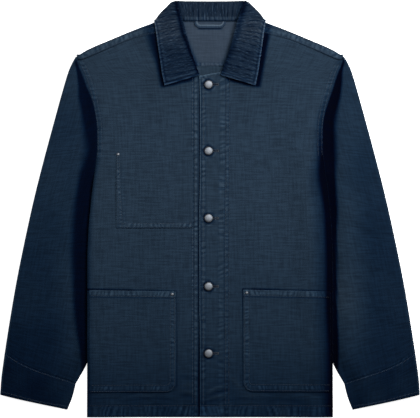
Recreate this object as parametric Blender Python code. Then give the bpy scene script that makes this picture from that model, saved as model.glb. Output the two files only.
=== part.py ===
"""A chore jacket laid flat on a table, front up: canvas body, corduroy collar, metal buttons.

+X is the wearer's left, +Y runs to the collar, +Z is up from the table.
Every length below is in millimetres, and MM turns it into Blender's metres.
Left and right are the wearer's. Panels are drawn for the left side, and mirrored for the right.
"""

import math
from collections import namedtuple

import bmesh
import bpy
import numpy as np

# ---- driving dimensions, in millimetres ----
MM = 0.001
CANVAS = 1.2
CORDUROY = 2.0
SEAM_GAP = 0.3
PLY = CANVAS + SEAM_GAP
PATCH_PLY = CANVAS + 0.5
COLLAR_UNDER = CORDUROY + 0.8
FOLD_RADIUS = 2.2
SIDE_SEAM_GAP = 0.7
LOFT = 2 * FOLD_RADIUS + SIDE_SEAM_GAP
REST = CANVAS / 2

LAP = 20.0
NECK_EDGE_Y = 252.7
RIGHT_NECK_DROP = 5.0
NECK_HALF = 75.0
NECK_FLAT_HALF = 48.0
NECK_LOW_Y = 357.0
NECK_RISE = 7.0
SHOULDER_END_X = 253.5
SHOULDER_END_Y = 289.0
SEAM_END_X = 249.0

BUTTON_X = -3.0
BUTTON_YS = (237.0, 111.3, -16.5, -146.3, -273.6)

# ---- tables: one row for each section ----

# The body's side edge. y: height of the row. half_width: centre line to the edge.
# lift: how far the sleeve below holds the edge off the table. curl: turn of the edge, in degrees.
BodyRow = namedtuple("BodyRow", "y half_width lift curl")
BODY_ROWS = (
    BodyRow(-395, 233.0, 1.0, 90),
    BodyRow(-350, 232.8, 2.5, 90),
    BodyRow(-300, 232.6, 5.0, 90),
    BodyRow(-230, 232.5, 6.5, 90),
    BodyRow(-97, 232.3, 6.5, 90),
    BodyRow(-44, 230.3, 6.5, 90),
    BodyRow(2, 226.5, 6.5, 90),
    BodyRow(49, 221.3, 6.5, 90),
    BodyRow(84, 216.6, 6.5, 90),
    BodyRow(118, 213.6, 3.5, 48),
    BodyRow(150, 213.8, 0.8, 12),
    BodyRow(180, 217.2, 0.0, 0),
    BodyRow(211, 224.2, 0.0, 0),
    BodyRow(256, 237.7, 0.0, 0),
    BodyRow(289, 253.5, 0.0, 0),
)

# The fold along the top of the shoulder, and the seam that lies forward of it.
ShoulderRow = namedtuple("ShoulderRow", "x fold_y seam_y")
SHOULDER_ROWS = (
    ShoulderRow(72, 366.0, 341.0),
    ShoulderRow(111, 351.5, 331.5),
    ShoulderRow(142, 340.0, 324.5),
    ShoulderRow(188, 321.0, 307.0),
    ShoulderRow(232, 302.0, 288.0),
    ShoulderRow(249, 291.8, 281.5),
    ShoulderRow(253.5, 289.0, 279.5),
)

# A front, drawn with its side edge at +X. centre_x, centre_y: where the row meets the front edge
# or the neckline. side_y: where it meets the side seam or the armhole.
FrontRow = namedtuple("FrontRow", "centre_x centre_y side_y")
NECK_ROWS = (
    FrontRow(0.0, 256.2, 251),
    FrontRow(18.8, 259.4, 256),
    FrontRow(31.0, 267.0, 261),
    FrontRow(44.0, 285.0, 267),
    FrontRow(55.0, 308.0, 273),
    FrontRow(64.0, 325.0, 277.5),
    FrontRow(72.0, 341.0, 281.5),
)
PANEL_YS = (-395, -350, -300, -230, -165, -97, -44, 2, 49, 84, 101, 118, 150, 180, 215)
CHEST_Y = 245
BOW_START_Y = 212.7

# The sleeve's outer edge.
EdgeRow = namedtuple("EdgeRow", "y x")
SLEEVE_EDGE = (
    EdgeRow(-352.5, 398.0),
    EdgeRow(-325, 396.0),
    EdgeRow(-287, 391.1),
    EdgeRow(-211, 379.4),
    EdgeRow(-135, 366.3),
    EdgeRow(-59, 350.9),
    EdgeRow(17, 334.1),
    EdgeRow(93, 315.0),
    EdgeRow(169, 294.5),
    EdgeRow(226, 278.7),
    EdgeRow(264, 267.0),
    EdgeRow(283, 259.0),
)

# Rows across the sleeve. Down to the underarm the inner end follows the armhole, and below it the
# inner end is the underarm seam. tuck: how far that seam lies under the body's edge.
# seam_z: height of the seam. outer_y: where the row meets the outer edge.
SleeveRow = namedtuple("SleeveRow", "inner_y tuck seam_z outer_y")
ARMHOLE_ROWS = (
    SleeveRow(281.5, 0, 0, 282),
    SleeveRow(277.5, 0, 0, 277.5),
    SleeveRow(267, 0, 0, 265),
    SleeveRow(256, 0, 0, 253),
    SleeveRow(245, 0, 0, 241),
    SleeveRow(215, 0, 0, 210),
    SleeveRow(180, 0, 0, 174),
    SleeveRow(150, 0, 0, 141),
    SleeveRow(118, 0, 0, 106),
    SleeveRow(101, 0, 0, 88),
    SleeveRow(84, 0, 0, 70),
)
UNDERARM_ROWS = (
    SleeveRow(70, -1.2, 7.6, 55),
    SleeveRow(56, -1.2, 4.4, 40),
    SleeveRow(36, 8.0, 2.4, 18),
    SleeveRow(0, 20.0, 1.5, -16),
    SleeveRow(-60, 28.0, 1.35, -66),
    SleeveRow(-130, 29.0, 1.35, -126),
    SleeveRow(-200, 24.0, 1.35, -184),
    SleeveRow(-250, 12.0, 1.35, -222),
    SleeveRow(-293, -3.5, 1.35, -249),
    SleeveRow(-331, -22.2, 1.35, -272.5),
)
CUFF_ROWS = (
    SleeveRow(-331.6, -22.5, 1.35, -273.1),
    SleeveRow(-356, -28.6, 1.35, -313),
    SleeveRow(-381, -38.2, 1.35, -352.5),
)

# The collar's sections, from the end of one leaf to the centre back. Each is five places:
# the neck seam, the roll, two places on the fall, and the outer edge.
Cut = namedtuple("Cut", "seam roll fall turn edge")
COLLAR_ROWS = (
    Cut((-24, 257, 7.6), (-21.6, 254.6, 10.4), (-40, 248.9, 11.2), (-64, 241.6, 10.8), (-85.7, 235, 10.4)),
    Cut((-34, 273, 7.8), (-28, 271.5, 13.6), (-47, 266, 13.4), (-70, 260.5, 12), (-90.2, 256, 10.8)),
    Cut((-47.4, 293, 8), (-35, 292, 16.4), (-53, 287.5, 15.6), (-74, 283, 13.2), (-93.6, 279, 11.4)),
    Cut((-58.8, 316, 8.6), (-41.5, 316, 18.6), (-60, 312.5, 17.6), (-80, 309, 14.6), (-97.6, 305, 12)),
    Cut((-67.6, 336, 9.2), (-47, 339, 20), (-65, 338, 18.6), (-84, 335.5, 15.6), (-101.2, 332, 12.6)),
    Cut((-70.6, 350, 9.2), (-51, 353, 20.4), (-69, 354, 18.4), (-89, 352.5, 14.6), (-104, 349.5, 12.2)),
    Cut((-71, 358, 9), (-54.5, 363, 20.2), (-74, 366, 17), (-94.5, 363, 11), (-105.2, 357.8, 6.4)),
    Cut((-70, 362, 8.6), (-57, 371, 19), (-76, 375, 13.4), (-95.6, 369.4, 5), (-101, 353, 1.3)),
    Cut((-65, 361, 7.8), (-60.5, 379, 16), (-77, 382, 9.8), (-84, 379.6, 3.0), (-84, 347, 1.3)),
    Cut((-56, 358, 7.1), (-64, 388.5, 11.8), (-69.5, 393, 6.8), (-67, 388, 2.1), (-62, 342, 1.3)),
    Cut((-40, 357, 6.9), (-42, 386.5, 9.4), (-42, 393.1, 5.5), (-41, 387.6, 1.9), (-36, 337, 1.3)),
    Cut((0, 357, 6.9), (0, 386, 9.3), (0, 392.7, 5.4), (0, 387.4, 1.9), (0, 335, 1.3)),
)

# Patch pockets, drawn on the left front. inner_x, outer_x: the sides. The top edge may slant.
Pocket = namedtuple("Pocket", "inner_x outer_x bottom_y inner_top_y outer_top_y corner")
LOWER_LEFT = Pocket(63.5, 228.5, -347.0, -153.5, -157.0, 19.0)
LOWER_RIGHT = Pocket(65.0, 228.5, -348.0, -157.0, -154.0, 19.0)
CHEST = Pocket(33.0, 177.5, -36.0, 106.5, 107.5, 4.0)

# ---- colours: base colour, roughness, metallic ----
CANVAS_LOOK = ((0.016, 0.030, 0.050, 1.0), 0.85, 0.0)
FACING_LOOK = ((0.040, 0.062, 0.095, 1.0), 0.85, 0.0)
CORDUROY_LOOK = ((0.010, 0.018, 0.032, 1.0), 0.9, 0.0)
METAL_LOOK = ((0.16, 0.16, 0.17, 1.0), 0.42, 1.0)


# ---- helpers ----


def clear_scene():
    for old in list(bpy.data.objects):
        bpy.data.objects.remove(old, do_unlink=True)


def ramp(value, start, end):
    """0 at start, 1 at end, with a smooth run between."""
    share = min(1.0, max(0.0, (value - start) / (end - start)))
    return share * share * (3 - 2 * share)


def mix(low, high, share):
    return low + (high - low) * share


def read(table, key, column, at):
    """The column's value where the key column is at, on a smooth line through the rows."""
    keys = [getattr(row, key) for row in table]
    values = [getattr(row, column) for row in table]
    rises = np.diff(values) / np.diff(keys)
    inside = [2 * a * b / (a + b) if a * b > 0 else 0.0 for a, b in zip(rises, rises[1:])]
    slopes = [rises[0], *inside, rises[-1]]
    last = len(keys) - 2
    left = int(np.clip(np.searchsorted(keys, at) - 1, 0, last))
    span = keys[left + 1] - keys[left]
    share = min(1.0, max(0.0, (at - keys[left]) / span))
    other = 1 - share
    ends = values[left] * other * other * (1 + 2 * share)
    ends += values[left + 1] * share * share * (1 + 2 * other)
    turns = slopes[left] * share * other * other - slopes[left + 1] * share * share * other
    return float(ends + turns * span)


def smooth_line(points, steps):
    """A smooth line through the points, with the given steps in each span."""
    points = [np.array(point, float) for point in points]
    padded = [2 * points[0] - points[1]] + points + [2 * points[-1] - points[-2]]
    line = []
    for a, b, c, d in zip(padded, padded[1:], padded[2:], padded[3:]):
        for step in range(steps):
            t = step / steps
            bend = (2 * a - 5 * b + 4 * c - d) * t * t + (3 * b - 3 * c + d - a) * t**3
            line.append(b + ((c - a) * t + bend) / 2)
    line.append(points[-1])
    return line


def look(name, colour, roughness, metallic):
    material = bpy.data.materials.new(name)
    material.use_nodes = True
    shader = material.node_tree.nodes["Principled BSDF"]
    shader.inputs["Base Color"].default_value = colour
    shader.inputs["Roughness"].default_value = roughness
    shader.inputs["Metallic"].default_value = metallic
    return material


def add_object(name, mesh, colours):
    mesh.materials.append(look(name + "_look", *colours))
    part = bpy.data.objects.new(name, mesh)
    bpy.context.scene.collection.objects.link(part)
    return part


def cloth(name, rows, wall, colours, present=None, even=True):
    """A sheet of cloth through rows of points, with its wall laid half on each side.

    present(row, column) says which cells of the grid are cloth; without it all are.
    """
    sheet = bmesh.new()
    grid = [[sheet.verts.new([n * MM for n in point]) for point in row] for row in rows]
    for i in range(len(grid) - 1):
        for j in range(len(grid[i]) - 1):
            if present is None or present(i, j):
                corners = (grid[i][j], grid[i][j + 1], grid[i + 1][j + 1], grid[i + 1][j])
                sheet.faces.new(corners)
    loose = [vertex for vertex in sheet.verts if not vertex.link_faces]
    bmesh.ops.delete(sheet, geom=loose, context="VERTS")
    mesh = bpy.data.meshes.new(name)
    sheet.to_mesh(mesh)
    sheet.free()
    mesh.shade_smooth()
    part = add_object(name, mesh, colours)
    solid = part.modifiers.new("wall", "SOLIDIFY")
    solid.thickness = wall * MM
    solid.offset = 0.0
    solid.use_even_offset = even
    return part


def mirrored(rows):
    return [[(-x, y, z) for x, y, z in reversed(row)] for row in rows]


def turned(name, profile, sides, colours):
    """A round solid about its own Z axis, through (radius, height) places from top to bottom."""
    shape = bmesh.new()
    top = shape.verts.new((0, 0, profile[0][1] * MM))
    bottom = shape.verts.new((0, 0, profile[-1][1] * MM))
    rings = []
    for radius, height in profile[1:-1]:
        ring = []
        for side in range(sides):
            angle = math.tau * side / sides
            place = (radius * math.cos(angle) * MM, radius * math.sin(angle) * MM, height * MM)
            ring.append(shape.verts.new(place))
        rings.append(ring)
    for side in range(sides):
        following = (side + 1) % sides
        shape.faces.new((top, rings[0][side], rings[0][following]))
        for upper, lower in zip(rings, rings[1:]):
            shape.faces.new((upper[side], lower[side], lower[following], upper[following]))
        shape.faces.new((rings[-1][side], bottom, rings[-1][following]))
    mesh = bpy.data.meshes.new(name)
    shape.to_mesh(mesh)
    shape.free()
    mesh.shade_smooth()
    mesh.set_sharp_from_angle(angle=math.radians(50))
    return add_object(name, mesh, colours)


# ---- heights of the layers, at their mid-thickness ----


def half_width(y):
    return read(BODY_ROWS, "y", "half_width", y)


# Where one layer begins to leave another, and where it is clear, measured in from the side.
SIDE_RISE = 75
OVER_SLEEVE = 32
SIDE_LOOSE = 20
# The same below the shoulder seam.
SHOULDER_RISE = 150
SHOULDER_LOOSE = 50
LAP_END = 42
LAP_CLEAR = LAP + 2
PLY_REST = PLY + 0.2
# The back lifts over the collar's fall between these places.
COLLAR_START_Y = 296
COLLAR_FULL_Y = 330
COLLAR_START_X = 160
COLLAR_FULL_X = 114


def back_height(x, y):
    """The back rests on the table, and lies over the collar's fall and the sleeves' inner edges."""
    x = abs(x)
    side = half_width(min(y, SHOULDER_END_Y))
    along = ramp(y, COLLAR_START_Y, COLLAR_FULL_Y)
    over_collar = COLLAR_UNDER * along * ramp(x, COLLAR_START_X, COLLAR_FULL_X)
    lift = read(BODY_ROWS, "y", "lift", min(y, SHOULDER_END_Y))
    over_sleeve = lift * ramp(x, side - SIDE_RISE, side - OVER_SLEEVE)
    return REST + over_collar + over_sleeve


def front_height(x, y):
    """The right front lies on the back, loose at the side folds, the neck and the shoulders."""
    x = abs(x)
    side = half_width(min(y, SHOULDER_END_Y))
    shoulder = read(SHOULDER_ROWS, "x", "seam_y", max(x, NECK_HALF))
    near_side = ramp(x, side - SIDE_RISE, side - SIDE_LOOSE)
    near_shoulder = ramp(y, shoulder - SHOULDER_RISE, shoulder - SHOULDER_LOOSE)
    return back_height(x, y) + mix(PLY_REST, LOFT, max(near_side, near_shoulder))


def lapped_height(x, y):
    """The left front lies over the right one where they lap."""
    return front_height(x, y) + PLY * ramp(x, LAP_END, LAP_CLEAR)


# ---- the body ----

FRONT_SHARES = (0, 0.07, 0.18, 0.26, 0.37, 0.5, 0.64, 0.76, 0.86, 0.94, 1)
CURL_STEPS = 2
CURL_LENGTH = FOLD_RADIUS * math.pi / 2


def curl(y, way):
    """(outward, upward) steps along a panel's last few millimetres, which turn by the row's curl."""
    angle = math.radians(read(BODY_ROWS, "y", "curl", min(y, SHOULDER_END_Y)))
    steps = []
    for step in range(1, CURL_STEPS + 1):
        share = step / CURL_STEPS
        if angle < 0.01:
            steps.append((CURL_LENGTH * share, 0.0))
        else:
            radius = CURL_LENGTH / angle
            turn = angle * share
            steps.append((radius * math.sin(turn), way * radius * (1 - math.cos(turn))))
    return steps


def front_rows(left):
    """Rows of a front with its side edge at +X, from the hem to the shoulder seam."""
    drop = 0.0 if left else RIGHT_NECK_DROP
    edge = [FrontRow(-LAP, y, y) for y in PANEL_YS]
    corner = FrontRow(-LAP if left else -LAP + 1, NECK_EDGE_Y - drop, CHEST_Y)
    neck = []
    for row in NECK_ROWS:
        lower = drop * ramp(row.centre_x, 44, 18)
        neck.append(row._replace(centre_y=row.centre_y - lower))
    end = NECK_ROWS[-1]
    rows = []
    for row in edge + [corner] + neck:
        side_x = half_width(row.side_y)
        steps = curl(row.side_y, -1)
        flat_x = side_x - steps[-1][0]
        bow = ramp(row.centre_y, BOW_START_Y, end.centre_y)
        points = []
        for share in FRONT_SHARES:
            x = mix(row.centre_x, flat_x, share)
            y = mix(row.centre_y, row.side_y, share)
            along_seam = (x - end.centre_x) / (SEAM_END_X - end.centre_x)
            straight = mix(end.centre_y, end.side_y, along_seam)
            if x > end.centre_x:
                y += bow * (read(SHOULDER_ROWS, "x", "seam_y", x) - straight)
            height = lapped_height(x, y) if left else front_height(x, y)
            points.append((x, y - SEAM_GAP * (row is end), height))
        last_x, last_y, last_z = points[-1]
        points += [(last_x + out, last_y, last_z + up) for out, up in steps]
        rows.append(points)
    return rows


BACK_SHARES = (0, 0.16, 0.3, 0.45, 0.6, 0.74, 0.86, 0.94, 1)
NECK_COLUMN = 2
FAN_SHARES = (0.25, 0.5, 0.75, 1.0)
WRAP_ANGLES = (45, 90, 135, 180)


def neck_y(x):
    """The back's neckline, which is lowest at the centre."""
    return NECK_LOW_Y + NECK_RISE * ramp(x, NECK_FLAT_HALF, NECK_HALF)


def back_rows():
    """Rows of the back from the hem up, then over each shoulder and down to its forward seam."""
    rows = []
    for y in PANEL_YS + (CHEST_Y,):
        flat_x = half_width(y) - curl(y, 1)[-1][0]
        rows.append([(share * flat_x, y) for share in BACK_SHARES])
    flat_end = SHOULDER_END_X - CURL_LENGTH
    folds = []
    seams = []
    for share in BACK_SHARES:
        x = share * flat_end
        over_shoulder = x >= NECK_HALF - 1
        fold_y = read(SHOULDER_ROWS, "x", "fold_y", x) if over_shoulder else neck_y(x)
        along_seam = (x - NECK_HALF) / (flat_end - NECK_HALF)
        seam_x = mix(SHOULDER_ROWS[0].x, SEAM_END_X - CURL_LENGTH, along_seam)
        seam_y = read(SHOULDER_ROWS, "x", "seam_y", seam_x) + SEAM_GAP
        seams.append(np.array((seam_x, seam_y)))
        folds.append(np.array((x, fold_y)))
    radius = LOFT / 2
    inward = [(seam - fold) / np.linalg.norm(seam - fold) for fold, seam in zip(folds, seams)]
    top = []
    for n, (fold, step) in enumerate(zip(folds, inward)):
        top.append(fold + radius * step * (n >= NECK_COLUMN))
    below = rows[-1]
    for share in FAN_SHARES:
        row = [mix(np.array(low), high, share) for low, high in zip(below, top)]
        side_x, side_y = row[-1]
        fit = (half_width(side_y) - CURL_LENGTH) / side_x
        rows.append([(x * fit, y) for x, y in row])
    solid_rows = []
    for row in rows:
        side_y = row[-1][1]
        points = [(x, y, back_height(x, y)) for x, y in row]
        last_x, last_y, last_z = points[-1]
        points += [(last_x + out, last_y, last_z + up) for out, up in curl(side_y, 1)]
        solid_rows.append(points)
    for angle in WRAP_ANGLES:
        turn = math.radians(angle)
        points = []
        for place, step in zip(top, inward):
            x, y = place - radius * math.sin(turn) * step
            points.append((x, y, back_height(*place) + radius * (1 - math.cos(turn))))
        solid_rows.append(points + armhole_strip(points[-1]))
    points = [(x, y, front_height(x, y)) for x, y in seams]
    solid_rows.append(points + armhole_strip(points[-1]))
    return solid_rows


def armhole_strip(end):
    x, y, z = end
    return [(x + CURL_LENGTH * step / CURL_STEPS, y, z) for step in range(1, CURL_STEPS + 1)]


def make_body():
    half = back_rows()
    rows = [[(-x, y, z) for x, y, z in reversed(row[1:])] + row for row in half]
    centre = len(half[0]) - 1
    body_rows = len(PANEL_YS) + len(FAN_SHARES)
    neck = NECK_COLUMN

    def present(i, j):
        over_shoulder = i >= body_rows
        beside_neck = j < centre - neck or j >= centre + neck
        return beside_neck or not over_shoulder

    cloth("back", rows, CANVAS, CANVAS_LOOK, present)
    cloth("front_left", front_rows(True), CANVAS, CANVAS_LOOK)
    cloth("front_right", mirrored(front_rows(False)), CANVAS, CANVAS_LOOK)


# ---- the sleeves and cuffs ----

TOP_SHARES = (0, 0.06, 0.14, 0.25, 0.4, 0.6, 0.82, 1)
UNDER_SHARES = (1, 0.6, 0.25, 0.14, 0.06, 0)
OUTER_TURNS = (45, 90, 135)
SEAM_SLOPE = 27.0
ARMHOLE_GAP = 0.6
VALLEY = REST + 1.9
CROWN = REST + LOFT
VALLEY_WIDTH = 38.0
VALLEY_START_Y = 285
VALLEY_FULL_Y = 215


def sleeve_section(inner, top_z, under_z, outer, sag=0.0):
    """Points round a flattened sleeve: from its inner end, over the top, and back underneath."""
    inner = np.array(inner, float)
    outer = np.array(outer, float)
    width = np.linalg.norm(outer - inner)
    across = (outer - inner) / width
    flat = width - LOFT / 2
    points = []

    def place(distance):
        x, y = inner + across * distance
        return x, y - sag * 4 * (distance / width) * (1 - distance / width)

    def valley_share(x, y):
        body_edge = half_width(min(y, SHOULDER_END_Y))
        start = max(body_edge, inner[0])
        depth = ramp(y, VALLEY_START_Y, VALLEY_FULL_Y)
        return 1 - depth * (1 - ramp(x, start, start + VALLEY_WIDTH))

    for share in TOP_SHARES:
        x, y = place(share * flat)
        free = mix(VALLEY, CROWN, valley_share(x, y))
        points.append((x, y, mix(top_z, free, ramp(share * flat, 0, SEAM_SLOPE))))
    end_z = points[-1][2]
    radius = (end_z - REST) / 2
    for angle in OUTER_TURNS:
        turn = math.radians(angle)
        x, y = place(flat + (width - flat) * math.sin(turn))
        points.append((x, y, REST + radius * (1 + math.cos(turn))))
    for share in UNDER_SHARES:
        x, y = place(share * flat)
        points.append((x, y, mix(under_z, REST, ramp(share * flat, 0, SEAM_SLOPE))))
    return points


def armhole_section(row):
    """The sleeve's section where its inner ends are sewn to the front and the back."""
    edge = half_width(row.inner_y)
    turn = math.radians(read(BODY_ROWS, "y", "curl", row.inner_y))
    rise = curl(row.inner_y, 1)[-1][1]
    inner_x = edge + ARMHOLE_GAP + REST * math.sin(turn)
    top_z = front_height(edge, row.inner_y) - rise + REST * math.sin(turn)
    under_z = back_height(edge, row.inner_y) + rise - REST * math.sin(turn)
    outer = (read(SLEEVE_EDGE, "y", "x", row.outer_y), row.outer_y)
    return sleeve_section((inner_x, row.inner_y), top_z, under_z, outer)


def seam_section(row, sag=0.0):
    """The sleeve's section where it closes on itself in the underarm seam."""
    inner = (half_width(row.inner_y) - row.tuck, row.inner_y)
    outer = (read(SLEEVE_EDGE, "y", "x", row.outer_y), row.outer_y)
    return sleeve_section(inner, row.seam_z + PLY / 2, row.seam_z - PLY / 2, outer, sag)


CUFF_SAG = 7.5
CUFF_SAGS = (CUFF_SAG, CUFF_SAG / 2, 0.6)


def make_sleeves():
    sleeve = [armhole_section(row) for row in ARMHOLE_ROWS]
    sleeve += [seam_section(row) for row in UNDERARM_ROWS[:-1]]
    sleeve += [seam_section(UNDERARM_ROWS[-1], CUFF_SAG)]
    cuff = [seam_section(row, sag) for row, sag in zip(CUFF_ROWS, CUFF_SAGS)]
    cloth("sleeve_left", sleeve, CANVAS, CANVAS_LOOK)
    cloth("sleeve_right", mirrored(sleeve), CANVAS, CANVAS_LOOK)
    cloth("cuff_left", cuff, CANVAS, CANVAS_LOOK)
    cloth("cuff_right", mirrored(cuff), CANVAS, CANVAS_LOOK)


# ---- the neck ----


def make_collar():
    half = [smooth_line(row, 2) for row in COLLAR_ROWS]
    rounds = half + [[point * (-1, 1, 1) for point in row] for row in reversed(half[:-1])]
    lines = [smooth_line(line, 2) for line in zip(*rounds)]
    cloth("collar", list(zip(*lines)), CORDUROY, CORDUROY_LOOK, even=False)


FACING_BOTTOM_Y = 271.7
FACING_TOP_Y = 356.4
FACING_LOW_HALF = 78.0
FACING_TOP_HALF = 66.0
FACING_COLUMNS = 6
FACING_ROWS = 5
LOOP_HALF = 27.0
LOOP_WIDTH = 5.6
LOOP_THICK = 1.8
LOOP_TOP_Y = 355.4
LOOP_BAR_Y = 346.6
LOOP_TURNS = (25, 50, 75, 90)


def make_neck_facing():
    rows = []
    for i in range(FACING_ROWS + 1):
        y = mix(FACING_BOTTOM_Y, FACING_TOP_Y, i / FACING_ROWS)
        reach = mix(FACING_LOW_HALF, FACING_TOP_HALF, i / FACING_ROWS)
        xs = [mix(-reach, reach, j / FACING_COLUMNS) for j in range(FACING_COLUMNS + 1)]
        rows.append([(x, y, back_height(x, y) + PLY) for x in xs])
    cloth("back_facing", rows, CANVAS, FACING_LOOK)


def make_hanger_loop():
    """A folded strip whose ends bend up into the neck seam."""
    bend = LOOP_TOP_Y - LOOP_BAR_Y
    path = [(-LOOP_HALF, LOOP_TOP_Y)]
    for angle in LOOP_TURNS:
        turn = math.radians(angle)
        path.append((-LOOP_HALF + bend * (1 - math.cos(turn)), LOOP_TOP_Y - bend * math.sin(turn)))
    path += [(-x, y) for x, y in reversed(path)]
    rows = []
    half = LOOP_WIDTH / 2
    for n, place in enumerate(path):
        before = np.array(path[max(n - 1, 0)])
        after = np.array(path[min(n + 1, len(path) - 1)])
        along = (after - before) / np.linalg.norm(after - before)
        across = np.array((-along[1], along[0]))
        z = back_height(*place) + PLY + CANVAS / 2 + SEAM_GAP + LOOP_THICK / 2
        low = np.array(place) - across * half
        high = np.array(place) + across * half
        rows.append([(*low, z), (*high, z)])
    cloth("hanger_loop", rows, LOOP_THICK, CANVAS_LOOK)


# ---- the pockets ----

CORNER_ANGLES = (0, 30, 60, 90)
ROW_CLEAR = 3.0
COLUMN_CLEAR = 4.0


def front_columns(y, centre_x):
    """Where a front's own columns cross a row."""
    flat_x = half_width(y) - curl(y, -1)[-1][0]
    return [mix(centre_x, flat_x, share) for share in FRONT_SHARES]


def pocket_rows(pocket, height, centre_x):
    """A patch made from the front's own rows and columns, moved out by one ply."""
    corner = pocket.corner
    lows = []
    for angle in CORNER_ANGLES:
        turn = math.radians(angle)
        low_y = pocket.bottom_y + corner * (1 - math.cos(turn))
        lows.append((low_y, corner * (1 - math.sin(turn))))
    first_y = lows[-1][0] + ROW_CLEAR
    last_y = pocket.inner_top_y - 2 * ROW_CLEAR
    lows += [(y, 0.0) for y in PANEL_YS if first_y < y < last_y]
    first_x = pocket.inner_x + corner + COLUMN_CLEAR
    last_x = pocket.outer_x - 2.5 * COLUMN_CLEAR
    columns = front_columns(pocket.bottom_y, centre_x)
    crossed = [n for n, x in enumerate(columns) if first_x < x < last_x]
    rows = []
    for y, cut_in in lows:
        columns = front_columns(y, centre_x)
        xs = [pocket.inner_x + cut_in, *[columns[n] for n in crossed], pocket.outer_x]
        rows.append([(x, y) for x in xs])
    top_xs = [x for x, _ in rows[-1]]
    span = pocket.outer_x - pocket.inner_x
    slant = pocket.outer_top_y - pocket.inner_top_y
    rows.append([(x, pocket.inner_top_y + slant * (x - pocket.inner_x) / span) for x in top_xs])
    return [[(x, y, height(x, y) + PATCH_PLY) for x, y in row] for row in rows]


def make_pockets():
    left = pocket_rows(LOWER_LEFT, lapped_height, -LAP)
    right = pocket_rows(LOWER_RIGHT, front_height, -LAP)
    chest = pocket_rows(CHEST, front_height, -LAP)
    cloth("pocket_left", left, CANVAS, CANVAS_LOOK)
    cloth("pocket_right", mirrored(right), CANVAS, CANVAS_LOOK)
    cloth("chest_pocket", mirrored(chest), CANVAS, CANVAS_LOOK)


# ---- the metal ----

BUTTON_PROFILE = (
    (0.0, 3.4),
    (3.4, 3.2),
    (6.0, 2.6),
    (6.9, 2.1),
    (7.5, 2.4),
    (8.3, 2.1),
    (8.5, 1.4),
    (7.9, 0.5),
    (6.0, 0.0),
    (0.0, 0.0),
)
RIVET_PROFILE = ((0.0, 1.3), (1.3, 1.15), (2.3, 0.8), (2.9, 0.25), (2.7, 0.0), (0.0, 0.0))
BUTTON_SIDES = 18
RIVET_SIDES = 12
RIVET_PLACES = (
    ("rivet_chest", -174.2, 104.0),
    ("rivet_left", 70.0, -159.0),
    ("rivet_right", -71.6, -162.0),
)
SLOPE_STEP = 4.0


def stand_on(part, x, y, height, clearance):
    """Places a part on a cloth surface, tilted with it."""
    slope_x = (height(x + SLOPE_STEP, y) - height(x - SLOPE_STEP, y)) / (2 * SLOPE_STEP)
    slope_y = (height(x, y + SLOPE_STEP) - height(x, y - SLOPE_STEP)) / (2 * SLOPE_STEP)
    part.location = (x * MM, y * MM, (height(x, y) + clearance) * MM)
    part.rotation_euler = (math.atan(slope_y), -math.atan(slope_x), 0.0)


def make_buttons():
    shared = None
    for number, y in enumerate(BUTTON_YS, 1):
        if shared is None:
            button = turned("button_1", BUTTON_PROFILE, BUTTON_SIDES, METAL_LOOK)
            shared = button.data
        else:
            button = bpy.data.objects.new(f"button_{number}", shared)
            bpy.context.scene.collection.objects.link(button)
        stand_on(button, BUTTON_X, y, lapped_height, REST + SEAM_GAP)


def make_rivets():
    clearance = PATCH_PLY + REST + SEAM_GAP
    for name, x, y in RIVET_PLACES:
        rivet = turned(name, RIVET_PROFILE, RIVET_SIDES, METAL_LOOK)
        stand_on(rivet, x, y, front_height, clearance)


clear_scene()
make_body()
make_sleeves()
make_collar()
make_neck_facing()
make_hanger_loop()
make_pockets()
make_buttons()
make_rivets()
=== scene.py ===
# %% [markdown]
# # A chore jacket laid flat
# This lesson dresses a work jacket that lies front up on a table: navy canvas body, patch pockets,
# corduroy collar, metal buttons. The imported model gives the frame, with one solid for each piece of cloth.
# Canvas that lies flat needs no simulation. Each panel is a thin shell drawn from its own measured lines,
# with its seams, puckers and soft creases worked into the shell itself.

# %% Load the frame
import math
from collections import namedtuple

import bpy
import numpy as np
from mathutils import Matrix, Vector
from mathutils.bvhtree import BVHTree


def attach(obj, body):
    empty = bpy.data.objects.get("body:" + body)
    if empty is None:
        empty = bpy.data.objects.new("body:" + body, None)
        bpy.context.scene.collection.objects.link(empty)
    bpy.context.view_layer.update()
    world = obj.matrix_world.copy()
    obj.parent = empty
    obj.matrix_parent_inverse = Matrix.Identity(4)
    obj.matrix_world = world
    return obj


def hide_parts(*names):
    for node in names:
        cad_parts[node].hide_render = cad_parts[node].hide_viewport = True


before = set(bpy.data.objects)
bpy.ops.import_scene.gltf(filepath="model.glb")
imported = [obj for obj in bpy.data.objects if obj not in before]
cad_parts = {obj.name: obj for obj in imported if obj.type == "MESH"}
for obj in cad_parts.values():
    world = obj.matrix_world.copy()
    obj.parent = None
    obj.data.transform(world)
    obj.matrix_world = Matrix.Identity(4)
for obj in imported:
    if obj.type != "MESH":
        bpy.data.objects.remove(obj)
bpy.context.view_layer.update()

# %% [markdown]
# ## Measured lines
# A jacket is drafted from a few measured lines: half the body's width at each height, the slope of the
# shoulder, the curve of the neck and the outer edge of the sleeve. Each line is a short table in
# millimetres, and every panel reads its shape from these tables, so that neighbours always meet.
# A smooth line that never overshoots is drawn through each table.

# %% Lengths and helpers
MM = 0.001
CANVAS = 1.2
CORDUROY = 2.0
PLY = 1.5
REST = CANVAS / 2


def ramp(value, start, end):
    """0 at start, 1 at end, with a smooth run between."""
    share = np.clip((np.asarray(value, float) - start) / (end - start), 0, 1)
    return share * share * (3 - 2 * share)


def mix(low, high, share):
    return low + (high - low) * share


def hump(value, middle, width, power=2):
    """1 at the middle and fading to 0 on both sides, with a flatter top for a higher power."""
    return np.exp(-(((value - middle) / width) ** power))


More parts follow.
